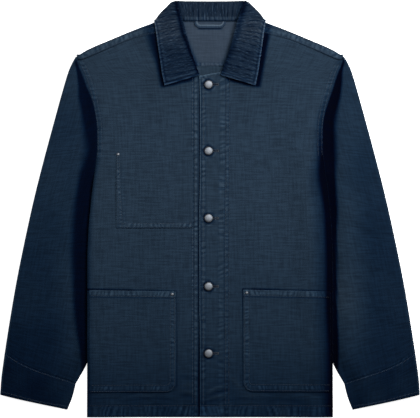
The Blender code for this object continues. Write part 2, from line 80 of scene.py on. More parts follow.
def read(table, key, column, at):
    """The column's value at a place in the key column, on a smooth line through the rows.

    Beyond either end of the table, the end row's value holds.
    """
    keys = np.array([getattr(row, key) for row in table], float)
    values = np.array([getattr(row, column) for row in table], float)
    rises = np.diff(values) / np.diff(keys)
    same_way = rises[:-1] * rises[1:] > 0
    total = np.where(same_way, rises[:-1] + rises[1:], 1)
    inside = np.where(same_way, 2 * rises[:-1] * rises[1:] / total, 0)
    slopes = np.concatenate([rises[:1], inside, rises[-1:]])
    at = np.clip(np.asarray(at, float), keys[0], keys[-1])
    left = np.clip(np.searchsorted(keys, at) - 1, 0, len(keys) - 2)
    span = keys[left + 1] - keys[left]
    share = (at - keys[left]) / span
    other = 1 - share
    ends = values[left] * other**2 * (1 + 2 * share) + values[left + 1] * share**2 * (1 + 2 * other)
    return ends + (slopes[left] * share * other**2 - slopes[left + 1] * share**2 * other) * span


# %% The body's lines
BodyRow = namedtuple("BodyRow", "y half_width lift curl")
BODY_ROWS = (
    BodyRow(-395, 233.0, 1.0, 90),
    BodyRow(-350, 232.8, 2.5, 90),
    BodyRow(-300, 232.6, 5.0, 90),
    BodyRow(-230, 232.5, 6.5, 90),
    BodyRow(-97, 232.3, 6.5, 90),
    BodyRow(-44, 230.3, 6.5, 90),
    BodyRow(2, 226.5, 6.5, 90),
    BodyRow(49, 221.3, 6.5, 90),
    BodyRow(84, 216.6, 6.5, 90),
    BodyRow(118, 213.6, 3.5, 48),
    BodyRow(150, 213.8, 0.8, 12),
    BodyRow(180, 217.2, 0.0, 0),
    BodyRow(211, 224.2, 0.0, 0),
    BodyRow(256, 237.7, 0.0, 0),
    BodyRow(289, 253.5, 0.0, 0),
)
ShoulderRow = namedtuple("ShoulderRow", "x fold_y seam_y")
SHOULDER_ROWS = (
    ShoulderRow(72, 366.0, 341.0),
    ShoulderRow(111, 351.5, 331.5),
    ShoulderRow(142, 340.0, 324.5),
    ShoulderRow(188, 321.0, 307.0),
    ShoulderRow(232, 302.0, 288.0),
    ShoulderRow(249, 291.8, 281.5),
    ShoulderRow(253.5, 289.0, 279.5),
)
SHOULDER_END = (253.5, 289.0)
NECK_HALF = 75.0
HEM_Y = -395.0
COLLAR_UNDER = CORDUROY + 0.8


def half_width(y):
    return read(BODY_ROWS, "y", "half_width", y)


print("chest width laid flat, in mm:", round(2 * float(half_width(84))))

# %% [markdown]
# ## How the layers lie
# The back rests on the table. The fronts lie on the back, almost touching at the middle and lofted
# where the cloth folds over at the sides and shoulders. The sleeves' inner edges are tucked under the
# body, so the body's sides ride up over them. These height functions say where the middle of each cloth is.

# %% Heights of the back and the fronts
SIDE_LOFT = 9.0
EDGE_DROOP = 2.6
SIDE_GAP = 0.6


def back_z(x, y):
    """The height of the back, which lies over the collar's fall and the sleeves' inner edges."""
    x = np.abs(x)
    side = half_width(y)
    over_collar = COLLAR_UNDER * ramp(y, 296, 330) * ramp(x, 160, 114)
    lift = read(BODY_ROWS, "y", "lift", y)
    return REST + over_collar + lift * ramp(x, side - 75, side - 32)


def loft(x, y):
    """How far the right front stands off the back."""
    near = np.abs(x)
    side = half_width(y)
    shoulder = read(SHOULDER_ROWS, "x", "seam_y", np.maximum(near, NECK_HALF))
    across = ramp((near - side + 100) / 80, 0, 1)
    loose = np.maximum(across, ramp(y, shoulder - 170, shoulder - 40))
    droop = EDGE_DROOP * ramp(x, side - 46, side) * ramp(y, 150, 60)
    return mix(2.4, SIDE_LOFT, loose) - droop


def front_z(x, y):
    return back_z(x, y) + loft(x, y)


def lapped_z(x, y):
    """The height of the left front, which lies over the right one where they lap."""
    return front_z(x, y) + (PLY + 0.5) * ramp(x, 48, 22)


print("the chest stands this high, in mm:", round(float(front_z(np.array(150.0), np.array(0.0))), 1))

# %% [markdown]
# ## Sewing marks the cloth
# Topstitching draws two layers together. The thread sinks into a narrow groove, and between the
# stitches the cloth puckers into short ropy ridges that wear lighter than the rest. The grooves and
# the hollows between the ridges are painted darker, as shade. A seam here is the middle line of a
# sewn band: half the band's width, the height and spacing of its puckers, how worn they are, the
# depth of the groove along both of its edges, and how evenly the whole band has faded. For any place
# on a panel, the nearest point of the line gives the distance from the seam and the length along it,
# and both drive the shape, the wear and the painted shade.

# %% A seam's relief
SEAM_COLUMNS = "line half pucker period wear groove faded"
Seam = namedtuple("Seam", SEAM_COLUMNS, defaults=(4.0, 0.3, 8.0, 0.4, 0.3, 0.25))


def nearest(x, y, line):
    """The signed distance from a line, positive on its left, and the length along it."""
    best = np.full(np.shape(x), 1e9)
    along = np.zeros(np.shape(x))
    side = np.ones(np.shape(x))
    run = 0.0
    for (ax, ay), (bx, by) in zip(line, line[1:]):
        dx, dy = bx - ax, by - ay
        length = math.hypot(dx, dy)
        share = np.clip(((x - ax) * dx + (y - ay) * dy) / length**2, 0, 1)
        off_x, off_y = x - ax - share * dx, y - ay - share * dy
        distance = np.hypot(off_x, off_y)
        closer = distance < best
        best = np.where(closer, distance, best)
        along = np.where(closer, run + share * length, along)
        side = np.where(closer, np.where(dx * off_y - dy * off_x < 0, -1.0, 1.0), side)
        run += length
    return best * side, along


def ripple(length, period, seed):
    """An uneven wave between about -1 and 1."""
    turn = length * math.tau / period
    long_wave = np.sin(turn + 1.5 * np.sin(turn * 0.23 + seed) + seed * 2.1)
    return (long_wave + 0.5 * np.sin(turn * 1.71 + 1.2 * np.sin(turn * 0.31 + seed * 1.7))) / 1.35


def sewn(x, y, seams):
    """The height, the wear and the painted shade that a panel's sewn bands give it. Values below 0 are
    painted shade in the grooves and between the puckers.
    """
    height = np.zeros(np.shape(x))
    wear = np.zeros(np.shape(x))
    for number, seam in enumerate(seams):
        distance, along = nearest(x, y, seam.line)
        seed = number * 1.7 + seam.half
        band = hump(distance, 0, seam.half * 1.02, 4)
        spill = 0.4 * hump(distance, 0, seam.half * 2.1)
        slant = 0.1 + 0.28 * np.sin(along / 19 + seed)
        wander = along + distance * slant + 0.9 * np.sin(along / 29 + distance / 9 + seed)
        rope = ripple(wander, seam.period, seed)
        fits = 0.62 + 0.38 * ripple(along, seam.period * 6.3, seed + 2)
        height += seam.pucker * rope * fits * np.maximum(band, spill)
        # Each groove sinks, and it is painted dark as shade.
        for side in (-1, 1):
            groove = seam.groove * hump(distance, side * seam.half, 1.1)
            height -= groove
            wear -= 0.7 * groove
        # Ridge tops rub lighter. The hollows between them go below 0, as painted shade.
        cell = 1.4 * np.clip(1.6 * rope, -1, 1) * fits + 0.85 * seam.faded
        wear += seam.wear * band * cell
    return height, wear


# %% [markdown]
# ## Soft creases
# Canvas keeps a memory of how it was folded and worn. Each crease is placed one by one, as a soft ridge
# or trough along a short line with its own width and height, and no two are alike.

# %% A table of creases
Crease = namedtuple("Crease", "x0 y0 x1 y1 width height")


def creased(x, y, creases):
    height = np.zeros(np.shape(x))
    for crease in creases:
        dx, dy = crease.x1 - crease.x0, crease.y1 - crease.y0
        length = math.hypot(dx, dy)
        along = ((x - crease.x0) * dx + (y - crease.y0) * dy) / length
        across = (dx * (y - crease.y0) - dy * (x - crease.x0)) / length
        bow = 0.06 * length * np.sin(math.pi * np.clip(along / length, 0, 1))
        ends = hump(along, length / 2, 0.42 * length, 4)
        height += crease.height * ends * hump(across, bow, crease.width)
    return height


def rolling(x, y, seed):
    """The slow rise and fall that any laid cloth has."""
    a = np.sin(x / 37 + seed + 1.3 * np.sin(y / 91 + seed))
    b = np.sin(y / 53 - seed + 1.1 * np.sin(x / 71 - seed))
    return a * b


# %% [markdown]
# ## A shell of cloth
# Real cloth is a thin closed sheet: a face, a back, and a folded or cut edge. The shell takes a grid of
# places for the middle of the cloth, moves one copy out and one copy in by half the wall, and joins
# them round a slightly rounded edge. Each place also carries its coordinates on the flat cloth, so that
# the weave follows the threads. It also carries its painted shade, which stands in for shadow and for
# how brightly light falls, and its wear, which also holds painted highlights and, below 0, painted shade.

# %% Grid tools
def stops(start, end, coarse, fine=1.4, near=(), reach=9.0):
    """Places from start to end, closer together near the given places."""
    places = [start]
    way = 1 if end > start else -1
    while (end - places[-1]) * way > 0:
        here = places[-1]
        gap = min([abs(here - place) for place in near] + [1e9])
        places.append(here + way * mix(fine, coarse, float(ramp(gap, reach * 0.5, reach * 1.6))))
    places = np.array(places)
    return start + (places - start) * (end - start) / (places[-1] - start)


def outward(grid, flip=False):
    """The cloth's normal at each place of the grid."""
    normal = np.cross(np.gradient(grid, axis=1), np.gradient(grid, axis=0))
    size = np.linalg.norm(normal, axis=2, keepdims=True)
    normal = normal / np.maximum(size, 1e-9)
    return -normal if flip else normal


def flat_lengths(grid):
    """Each place's coordinates on the flat cloth: across the rows and along the columns."""
    across = np.linalg.norm(np.diff(grid, axis=1), axis=2)
    across = np.concatenate([np.zeros((len(grid), 1)), np.cumsum(across, axis=1)], axis=1)
    across -= across[:, [across.shape[1] // 2]]
    middle = grid[:, grid.shape[1] // 2]
    up = np.concatenate([[0], np.cumsum(np.linalg.norm(np.diff(middle, axis=0), axis=1))])
    return across, np.broadcast_to(up[:, None], across.shape)


made_pieces = {}


RIM_ROUND = 0.35
RIM_WEAR = 0.12
INNER_SHADE = 0.8
LIGHTEST_SHADE = 2.2
INNER_WEAVE_SHIFT = (0, 0, 5)


def rim_of(cells, count):
    """The edges that only one cell has, as pairs of place numbers."""
    ends = np.concatenate([np.stack([cells[:, n], cells[:, (n + 1) % 4]], 1) for n in range(4)])
    code = ends.min(1) * count + ends.max(1)
    _, first, times = np.unique(code, return_index=True, return_counts=True)
    return ends[first[times == 1]]


def shell(name, grid, wall, finish, flip=False, shade=None, wear=None, present=None, cut=None,
          outside_down=False):
    """A thin closed shell of cloth through a grid of places in millimetres."""
    grid = np.asarray(grid, float)
    rows, columns = grid.shape[:2]
    normal = outward(grid, flip)
    faces_in_grid = np.ones((rows - 1, columns - 1), bool) if present is None else present
    number = np.arange(rows * columns).reshape(rows, columns)
    cells = np.stack([number[:-1, :-1], number[:-1, 1:], number[1:, 1:], number[1:, :-1]], -1)[faces_in_grid]
    if flip:
        cells = cells[:, ::-1]
    count = rows * columns
    rim = rim_of(cells, count)
    used = np.unique(rim)
    rim_number = np.full(count, -1)
    rim_number[used] = 2 * count + np.arange(len(used))
    flat_normal = normal.reshape(-1, 3)
    middle = grid.reshape(-1, 3)
    away = np.zeros((count, 3))
    along = middle[rim[:, 1]] - middle[rim[:, 0]]
    side = np.cross(along, flat_normal[rim[:, 0]])
    side /= np.maximum(np.linalg.norm(side, axis=1, keepdims=True), 1e-9)
    np.add.at(away, rim[:, 0], side)
    np.add.at(away, rim[:, 1], side)
    away = away[used] / np.maximum(np.linalg.norm(away[used], axis=1, keepdims=True), 1e-9)
    places = np.concatenate([
        middle + flat_normal * wall / 2,
        middle - flat_normal * wall / 2,
        middle[used] + away * wall * RIM_ROUND,
    ])
    start, end = rim[:, 0], rim[:, 1]
    upper_rim = np.stack([end, start, rim_number[start], rim_number[end]], 1)
    lower_rim = np.stack([rim_number[end], rim_number[start], start + count, end + count], 1)
    faces = np.concatenate([cells, cells[:, ::-1] + count, upper_rim, lower_rim])
    keep = np.unique(faces)
    renumber = np.full(len(places), -1)
    renumber[keep] = np.arange(len(keep))
    faces = renumber[faces]
    mesh = bpy.data.meshes.new(name)
    mesh.from_pydata((places[keep] * MM).tolist(), [], faces.tolist())
    mesh.shade_smooth()
    across, up = flat_lengths(grid) if cut is None else cut
    flat = np.stack([np.broadcast_to(across, (rows, columns)), np.broadcast_to(up, (rows, columns))], -1)
    flat = np.concatenate([flat.reshape(-1, 2), np.zeros((count, 1))], 1)
    flat = np.concatenate([flat, flat + INNER_WEAVE_SHIFT, flat[used]])[keep]
    weave = mesh.attributes.new("cloth", "FLOAT_VECTOR", "POINT")
    weave.data.foreach_set("vector", flat.astype(np.float32).ravel())
    # Wear below 0 is painted shade in seam grooves and between puckers, so it darkens the painted shade.
    if wear is not None:
        shade = (1.0 if shade is None else shade) * (1 + 0.9 * np.minimum(wear, 0))
    for label, value, plain in (("shade", shade, 1.0), ("wear", wear, 0.0)):
        value = np.full((rows, columns), plain) if value is None else np.broadcast_to(value, (rows, columns))
        value = value.reshape(-1)
        # Unless it is the outside, the inner face is painted a little darker as shade. The rim is a little
        # more worn.
        inner = value if outside_down else np.full(count, INNER_SHADE if label == "shade" else 0.0)
        rim_value = value[used] if label == "shade" else np.minimum(value[used] + RIM_WEAR, 1)
        value = np.clip(np.concatenate([value, inner, rim_value])[keep], 0, LIGHTEST_SHADE)
        mesh.attributes.new(label, "FLOAT", "POINT").data.foreach_set("value", value.astype(np.float32))
    return dress(name, mesh, finish)


def dress(name, mesh, finish):
    """Puts a mesh in the scene as a piece on the jacket's one body, with its finish."""
    piece = bpy.data.objects.new(name, mesh)
    bpy.context.scene.collection.objects.link(piece)
    mesh.materials.append(finish)
    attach(piece, "root")
    made_pieces[name] = piece
    print(name, "has", len(mesh.polygons), "faces")
    return piece


# %% [markdown]
# ## Navy canvas
# Garment-dyed canvas is a plain weave of slightly uneven yarn. The dye takes unevenly on thick and
# thin yarn, which gives a faint crosshatch of streaks along the warp and the weft. Ridges rub lighter.
# The shell's painted shade darkens hidden folds, crevices and the places where shadow falls, and it
# turns bluer as it darkens. The material mixes those streaks into the colour, and gives the bump the
# single threads. It reads the flat-cloth coordinates, so the threads bend with the cloth.

# %% Node tools
def node(tree, kind, inputs=None, **settings):
    """A shader node with its settings, and its inputs as values or links."""
    made = tree.nodes.new(kind)
    for name, value in settings.items():
        setattr(made, name, value)
    for name, value in (inputs or {}).items():
        if isinstance(value, bpy.types.NodeSocket):
            tree.links.new(value, made.inputs[name])
        else:
            made.inputs[name].default_value = value
    return made


def sums(tree, operation, first, second=0.5):
    return node(tree, "ShaderNodeMath", {0: first, 1: second}, operation=operation).outputs[0]


def streaks(tree, place, scale, detail=3.0):
    """Noise drawn out along one direction, from 0 to 1."""
    moved = node(tree, "ShaderNodeMapping", {"Vector": place, "Scale": scale})
    inputs = {"Vector": moved.outputs[0], "Scale": 1.0, "Detail": detail, "Roughness": 0.6}
    return node(tree, "ShaderNodeTexNoise", inputs).outputs["Fac"]


def blended(tree, kind, factor, first, second):
    made = node(tree, "ShaderNodeMix", {0: factor, 6: first, 7: second}, data_type="RGBA", blend_type=kind)
    return made.outputs[2]


def shade_colour(tree, shade):
    """The painted shade as a colour, which turns bluer as it gets darker: red falls fastest and blue slowest.
    """
    red, blue = sums(tree, "POWER", shade, 1.55), sums(tree, "POWER", shade, 0.62)
    return node(tree, "ShaderNodeCombineColor", {0: red, 1: shade, 2: blue}).outputs[0]


def start_finish(name):
    finish = bpy.data.materials.new(name)
    finish.use_nodes = True
    tree = finish.node_tree
    return finish, tree, tree.nodes["Principled BSDF"]


def cloth_values(tree):
    """The values that a shell carries: its place on the flat cloth, its painted shade, and its wear and
    painted light.
    """
    kinds = (("cloth", "Vector"), ("shade", "Fac"), ("wear", "Fac"))
    return [node(tree, "ShaderNodeAttribute", attribute_name=name).outputs[kind] for name, kind in kinds]


def roughened(tree, shader, height, strength, distance):
    """A bump in the surface, in metres."""
    bump = node(tree, "ShaderNodeBump", {"Strength": strength, "Distance": distance, "Height": height})
    tree.links.new(bump.outputs[0], shader.inputs["Normal"])


def soft_gloss(shader, sheen, tint):
    """Cloth hardly shines, but its nap catches a little light at a glancing angle."""
    values = {"Specular IOR Level": 0.02, "Sheen Weight": sheen, "Sheen Roughness": 0.3, "Sheen Tint": tint}
    for name, value in values.items():
        shader.inputs[name].default_value = value


# %% The canvas
THREAD_PITCH = 1.05
YARN_RANGE = 0.09


def canvas(name, slot, dark, light, worn):
    """A plain weave between a dark and a light shade of dye. Wear and painted light move it towards the worn
    one, under the painted shade.
    """
    finish, tree, shader = start_finish(name)
    cloth, shade, wear = cloth_values(tree)
    weft = streaks(tree, cloth, (0.03, 0.34, 0.3))
    warp = streaks(tree, cloth, (0.30, 0.022, 0.3))
    wash = streaks(tree, cloth, (0.012, 0.009, 0.3), 4.0)
    yarn = sums(tree, "ADD", sums(tree, "MULTIPLY", weft, 0.6), sums(tree, "MULTIPLY", warp, 0.4))
    yarn = node(tree, "ShaderNodeMapRange", {0: yarn, 1: 0.5 - YARN_RANGE, 2: 0.5 + YARN_RANGE}).outputs[0]
    tone = sums(tree, "ADD", sums(tree, "MULTIPLY", yarn, 0.6), sums(tree, "MULTIPLY", wash, 0.4))
    colour = blended(tree, "MIX", tone, (*dark, 1), (*light, 1))
    rubbed_and_lit = sums(tree, "MULTIPLY", wear, sums(tree, "ADD", sums(tree, "MULTIPLY", yarn, 0.7), 0.55))
    colour = blended(tree, "MIX", rubbed_and_lit, colour, (*worn, 1))
    colour = blended(tree, "MULTIPLY", 1.0, colour, shade_colour(tree, shade))
    tree.links.new(colour, shader.inputs["Base Color"])
    apart = node(tree, "ShaderNodeSeparateXYZ", {0: cloth})
    turn = math.pi / THREAD_PITCH
    warp_thread, weft_thread = (
        sums(tree, "SINE", sums(tree, "MULTIPLY", apart.outputs[n], turn)) for n in (0, 1))
    weave = sums(tree, "ABSOLUTE", sums(tree, "ADD", warp_thread, weft_thread))
    height = sums(tree, "ADD", sums(tree, "MULTIPLY", weave, 0.10), sums(tree, "MULTIPLY", yarn, 0.16))
    roughened(tree, shader, height, 0.7, 0.0008)
    rough = node(tree, "ShaderNodeMapRange", {0: yarn, 3: 0.82, 4: 0.95}).outputs[0]
    tree.links.new(rough, shader.inputs["Roughness"])
    soft_gloss(shader, 0.025, (0.45, 0.6, 0.8, 1))
    print(name, "has", len(tree.nodes), "nodes")
    return finish


DyeRow = namedtuple("DyeRow", "dark light worn")
NAVY = DyeRow((0.0074, 0.0138, 0.0236), (0.0168, 0.0314, 0.0512), (0.040, 0.066, 0.096))
PALE_NAVY = DyeRow((0.020, 0.030, 0.046), (0.032, 0.047, 0.070), (0.06, 0.085, 0.115))
navy = canvas("navy_canvas", "canvas", *NAVY)
lining = canvas("facing_canvas", "facing", *PALE_NAVY)

# %% [markdown]
# ## The fronts
# Each front is one panel from the hem to the shoulder seam, with a nearly straight front edge, a curved
# neck and an armhole. Its rows fan out above the chest to meet the slope of the shoulder. The side edge
# rolls down a quarter turn to meet the back, which rolls up to it, so the side fold looks full.
# The left front laps over the right one and carries the buttonholes.

# %% Side edges
CURL_STEPS = 5


def edge_radius(y, side):
    """The radius of the side fold: half the room between front and back, less the seam's gap."""
    room = loft(side * half_width(y), y)
    return np.maximum((room - SIDE_GAP) / 2, 0.8)


def curl(y, side, way):
    """(outward, upward) steps along a panel's last few millimetres, which turn by the row's curl."""
    y = np.minimum(y, SHOULDER_END[1])
    angle = np.maximum(np.radians(read(BODY_ROWS, "y", "curl", y)), 1e-3)
    length = edge_radius(y, side) * math.pi / 2
    share = np.arange(1, CURL_STEPS + 1) / CURL_STEPS
    turn = angle[..., None] * share
    radius = (length / angle)[..., None]
    return radius * np.sin(turn), way * radius * (1 - np.cos(turn))


def flat_edge(y, side):
    """Where a panel starts to roll."""
    return half_width(y) - curl(y, side, 1)[0][..., -1]


# %% The fronts' rows
LAP = 20.0
NECK_EDGE_Y = 252.7
SEAM_END_X = 249.0
FrontRow = namedtuple("FrontRow", "centre_x centre_y side_y")
NECK_ROWS = (
    FrontRow(0.0, 256.2, 251),
    FrontRow(18.8, 259.4, 256),
    FrontRow(31.0, 267.0, 261),
    FrontRow(44.0, 285.0, 267),
    FrontRow(55.0, 308.0, 273),
    FrontRow(64.0, 325.0, 277.5),
    FrontRow(72.0, 341.0, 281.5),
)
EdgeRow = namedtuple("EdgeRow", "y x")
FRONT_EDGE = (
    EdgeRow(-395, -18.5),
    EdgeRow(-230, -18.9),
    EdgeRow(-180, -19.9),
    EdgeRow(0, -20.0),
    EdgeRow(40, -18.9),
    EdgeRow(235, -18.6),
    EdgeRow(252, -20.0),
)


def edge_x(y):
    """The front edge runs down from the neck, and wanders by about a millimetre."""
    return read(FRONT_EDGE, "y", "x", y)


def front_outline(left):
    """Fine rows of (centre_x, centre_y, side_y) from the hem to the shoulder seam."""
    drop = 0.0 if left else 5.0
    rows = [(edge_x(y), y, y) for y in stops(HEM_Y, 215, 2.3, 1.7, (HEM_Y, -373.4), 8)]
    corner = (-LAP if left else -LAP + 1, NECK_EDGE_Y - drop, 245)
    neck = [(r.centre_x, r.centre_y - drop * float(ramp(r.centre_x, 44, 18)), r.side_y) for r in NECK_ROWS]
    for start, end in zip([rows[-1], corner] + neck, [corner] + neck):
        steps = max(2, round(math.dist(start[:2], end[:2]) / 2.2))
        rows += [tuple(mix(a, b, n / steps) for a, b in zip(start, end)) for n in range(1, steps + 1)]
    return np.array(rows)


def front_places(left, seam_xs):
    """Plan places (x, y) of a front drawn with its side edge at +X, and its rolled side."""
    side = 1 if left else -1
    rows = front_outline(left)
    centre_x, centre_y, side_y = rows.T
    flat_x = flat_edge(side_y, side)
    xs = stops(rows[0, 0], float(flat_x[0]), 3.1, 1.5, (rows[0, 0],) + tuple(seam_xs), 9)
    share = (xs - xs[0]) / (xs[-1] - xs[0])
    x = mix(centre_x[:, None], flat_x[:, None], share)
    y = mix(centre_y[:, None], side_y[:, None], share)
    end = NECK_ROWS[-1]
    bow = ramp(centre_y, NECK_EDGE_Y - 40, end.centre_y)[:, None]
    straight = mix(end.centre_y, end.side_y, (x - end.centre_x) / (SEAM_END_X - end.centre_x))
    y = y + bow * (x > end.centre_x) * (read(SHOULDER_ROWS, "x", "seam_y", x) - straight)
    out, up = curl(side_y, side, -1)
    return x, y, out, up


# %% The pockets' edges
Pocket = namedtuple("Pocket", "inner_x outer_x bottom_y inner_top_y outer_top_y corner")
LOWER_LEFT = Pocket(63.5, 228.5, -347.0, -153.5, -157.0, 19.0)
LOWER_RIGHT = Pocket(65.0, 228.5, -348.0, -157.0, -154.0, 19.0)
CHEST = Pocket(33.0, 177.5, -36.0, 106.5, 107.5, 4.0)

# %% Seams and creases of the fronts
def armhole_line(inset):
    return [(float(half_width(y)) - inset, float(y)) for y in np.arange(100, 284, 8)]


def shoulder_line(shift):
    return [(x, float(read(SHOULDER_ROWS, "x", "seam_y", x)) + shift) for x in np.arange(76, 250, 8)]


HEM_BAND = [(-30, -384.2), (110, -383.8), (240, -384.4)]
SHARED_SEAMS = (
    Seam(armhole_line(4.7), 4.7, 0.35, 10.5, 0.2, 0.3),
    Seam(HEM_BAND, 10.2, 0.8, 9.5, 0.42, 0.6, 0.15),
)
LEFT_SEAMS = (
    Seam([(-12.6, 245), (-12.6, -394)], 4.2, 0.45, 12.0, 0.3, 0.4, 0.25),
    Seam([(24.0, 252), (24.0, 120), (20.5, -60), (20.5, -395)], 5.6, 0.5, 11.0, 0.26, 0.2, 0.25),
    Seam([(33.4, 252), (33.0, 120), (31.4, -60), (31.4, -395)], 3.4, 0.3, 9.0, 0.3, 0.55, 0.1),
    Seam([(-19, 249.6), (0, 253.2), (18.8, 256.4), (30, 261)], 3.2, 0.2, 7, 0.5, 0.25),
    *SHARED_SEAMS,
)
RIGHT_SEAMS = (
    Seam([(26.9, 250), (26.9, -395)], 3.4, 0.4, 12.0, 0.32, 0.45, 0.6),
    Seam([(33.0, 250), (33.0, -395)], 1.6, 0.25, 8.0, 0.4, 0.35, 0.4),
    *SHARED_SEAMS,
)
LEFT_CREASES = (
    Crease(214, 96, 120, 150, 16, 1.1),
    Crease(208, 60, 118, 84, 13, -0.8),
    Crease(60, -60, 110, -140, 18, 0.7),
    Crease(190, -20, 150, -130, 20, -0.9),
    Crease(52, 236, 96, 150, 15, 0.8),
    Crease(150, 262, 205, 196, 14, 0.8),
    Crease(-8, -350, 34, -334, 2.6, 1.0),
    Crease(-4, -356, 38, -344, 2.6, -1.0),
    Crease(-12, -364, 40, -355, 2.6, 0.8),
    Crease(-16, -369, 52, -365, 2.2, -0.9),
    Crease(40, -362, 96, -366, 2.8, -0.7),
    Crease(60, -357, 130, -358, 2.6, 0.6),
    Crease(110, -365, 178, -368, 2.6, -0.8),
    Crease(150, -358, 222, -361, 2.8, 0.5),
    Crease(36, -318, 60, -344, 4.0, 0.6),
)
RIGHT_CREASES = (
    Crease(212, 100, 130, 158, 15, 1.0),
    Crease(205, 64, 112, 92, 12, -0.7),
    Crease(66, -56, 96, -138, 17, -0.7),
    Crease(196, -10, 160, -120, 20, 0.9),
    Crease(58, 240, 108, 160, 15, -0.7),
    Crease(146, 266, 200, 204, 13, -0.8),
    Crease(24, -352, 66, -346, 3.0, 0.7),
    Crease(24, -362, 58, -354, 2.8, -0.8),
    Crease(60, -366, 150, -364, 2.6, -0.8),
    Crease(96, -358, 170, -360, 2.6, 0.6),
    Crease(160, -366, 224, -362, 2.6, -0.6),
    Crease(30, -324, 62, -318, 3.8, -0.6),
    Crease(30, -334, 60, -338, 3.4, 0.6),
)
HOLE_HALF = 7.0
HOLE_X = 9.0
BUTTON_X = -2.6
BUTTON_YS = (236.4, 110.5, -17.3, -147.0, -274.3)


def front_relief(x, y, left):
    """The height and the wear, with painted shade in the seams, on a front, for places drawn with the side
    edge at +X.
    """
    height, wear = sewn(x, y, LEFT_SEAMS if left else RIGHT_SEAMS)
    height = height + creased(x, y, LEFT_CREASES if left else RIGHT_CREASES)
    height += 0.35 * rolling(x, y, 1.0 if left else 2.4) * ramp(x, 50, 90)
    return height, wear


# How far the painted shade of the valley between body and sleeve reaches at each height: on the
# sleeve, from start to full and then fading, and on the body, in from its side edge.
DarkRow = namedtuple("DarkRow", "y start full fade body_full body_fade body_half")
LEFT_DARK = (
    DarkRow(-395, 0, 1, 8, 0, 26, 30),
    DarkRow(-268, 0, 10, 5, 4, 14, 38),
    DarkRow(-173, 0, 7.5, 5, 9, 10, 38),
    DarkRow(-59, 0, 8, 5, 9, 10, 38),
    DarkRow(-2, 0, 13, 7, 8, 9, 36),
    DarkRow(55, 0, 15, 9, 10, 12, 32),
    DarkRow(112, 0, 20, 14, 2, 12, 22),
    DarkRow(169, 0, 18, 14, 0, 8, 20),
    DarkRow(207, 3, 20, 8, 0, 6, 12),
    DarkRow(235, 5, 17, 6, 0, 3, 6),
    DarkRow(264, 5, 9, 5, 0, 2, 4),
    DarkRow(286, 2, 4, 3, 0, 1, 2),
)
RIGHT_DARK = (
    DarkRow(-395, 0, 1, 6, 0, 8, 16),
    DarkRow(-268, 0, 12, 7, 0, 6, 14),
    DarkRow(-230, 0, 18, 8, 0, 5, 12),
    DarkRow(-173, 0, 23, 10, 0, 6, 13),
    DarkRow(-59, 0, 24, 16, 0, 6, 12),
    DarkRow(-2, 0, 25, 16, 0, 4, 10),
    DarkRow(55, 0, 25, 10, 0, 5, 10),
    DarkRow(112, 0, 12, 25, 0, 6, 12),
    DarkRow(169, 0, 22, 13, 0, 5, 12),
    DarkRow(207, 1, 22, 9, 0, 7, 12),
    DarkRow(235, 5, 17, 6, 0, 4, 8),
    DarkRow(264, 6, 11, 4, 0, 2, 4),
    DarkRow(286, 3, 5, 3, 0, 1, 2),
)


def dark_table(side):
    return LEFT_DARK if side > 0 else RIGHT_DARK


# The collar's leaves cast a painted shadow on the cloth round them. y: height of the row. edge: centre line
# to the leaf's outer edge. dark, clear: how far out the painted shadow is darkest, and where it has gone.
LeafRow = namedtuple("LeafRow", "y edge dark clear")
LEFT_LEAF = (
    LeafRow(235, 85.7, 7, 15),
    LeafRow(279, 93.6, 7.5, 14),
    LeafRow(350, 104, 8, 19),
)
RIGHT_LEAF = (
    LeafRow(235, 85.7, 4, 14),
    LeafRow(270, 92.3, 5, 14),
    LeafRow(300, 96.5, 6, 24),
    LeafRow(350, 104, 11, 34),
)
# The leaves' lower edge.
LowRow = namedtuple("LowRow", "x y")
LEAF_LOW = (
    LowRow(24, 256),
    LowRow(40, 249.4),
    LowRow(57, 245.5),
    LowRow(66, 242.5),
    LowRow(76, 239),
    LowRow(86, 235.5),
)


def under_leaf(x, y, side):
    """How much light is left in the painted shadow beside and below a collar leaf."""
    table = LEFT_LEAF if side > 0 else RIGHT_LEAF
    out = x - read(table, "y", "edge", y)
    dark, clear = read(table, "y", "dark", y), read(table, "y", "clear", y)
    beyond = ramp((out - dark) / (clear - dark), 0, 1)
    low = read(LEAF_LOW, "x", "y", x) - y
    reach = mix(1.5, 5.0, ramp(x, 86, 64))
    below = ramp((low - reach) / 6.0, 0, 1)
    depth = (0.96 if side > 0 else 0.9) * ramp(x, 22, 34)
    return 1 - depth * (1 - beyond) * (1 - below)


def body_shade(x, y, side):
    """Painted shade on the body: darker at the side folds over the sleeves, darker towards the hem, blotchy
    low down, and in the painted shadow round the collar leaves.
    """
    table = dark_table(side)
    inside = half_width(y) - x
    full, fade, half = (read(table, "y", name, y) for name in ("body_full", "body_fade", "body_half"))
    close = 1 - ramp((inside - full) / fade, 0, 1)
    wide = 1 - ramp((inside - full) / (half + 1), 0, 1)
    near_side = (1 - (0.95 if side > 0 else 0.62) * close) * (1 - (0.6 if side > 0 else 0.3) * wide)
    low = mix(0.52, 1.0, ramp(y, -405, -215)) * mix(0.82, 1.0, ramp(y, -260, 40))
    blotchy = 1 + 0.16 * ramp(y, -300, -355) * rolling(2.6 * x, 3.4 * y, 1.7 * side)
    return near_side * low * blotchy * under_leaf(x, y, side)


# %% Shadows and wear on a front
LOW_CREASE_WIDTH = 5
LOW_CREASE_SHADE = 0.45


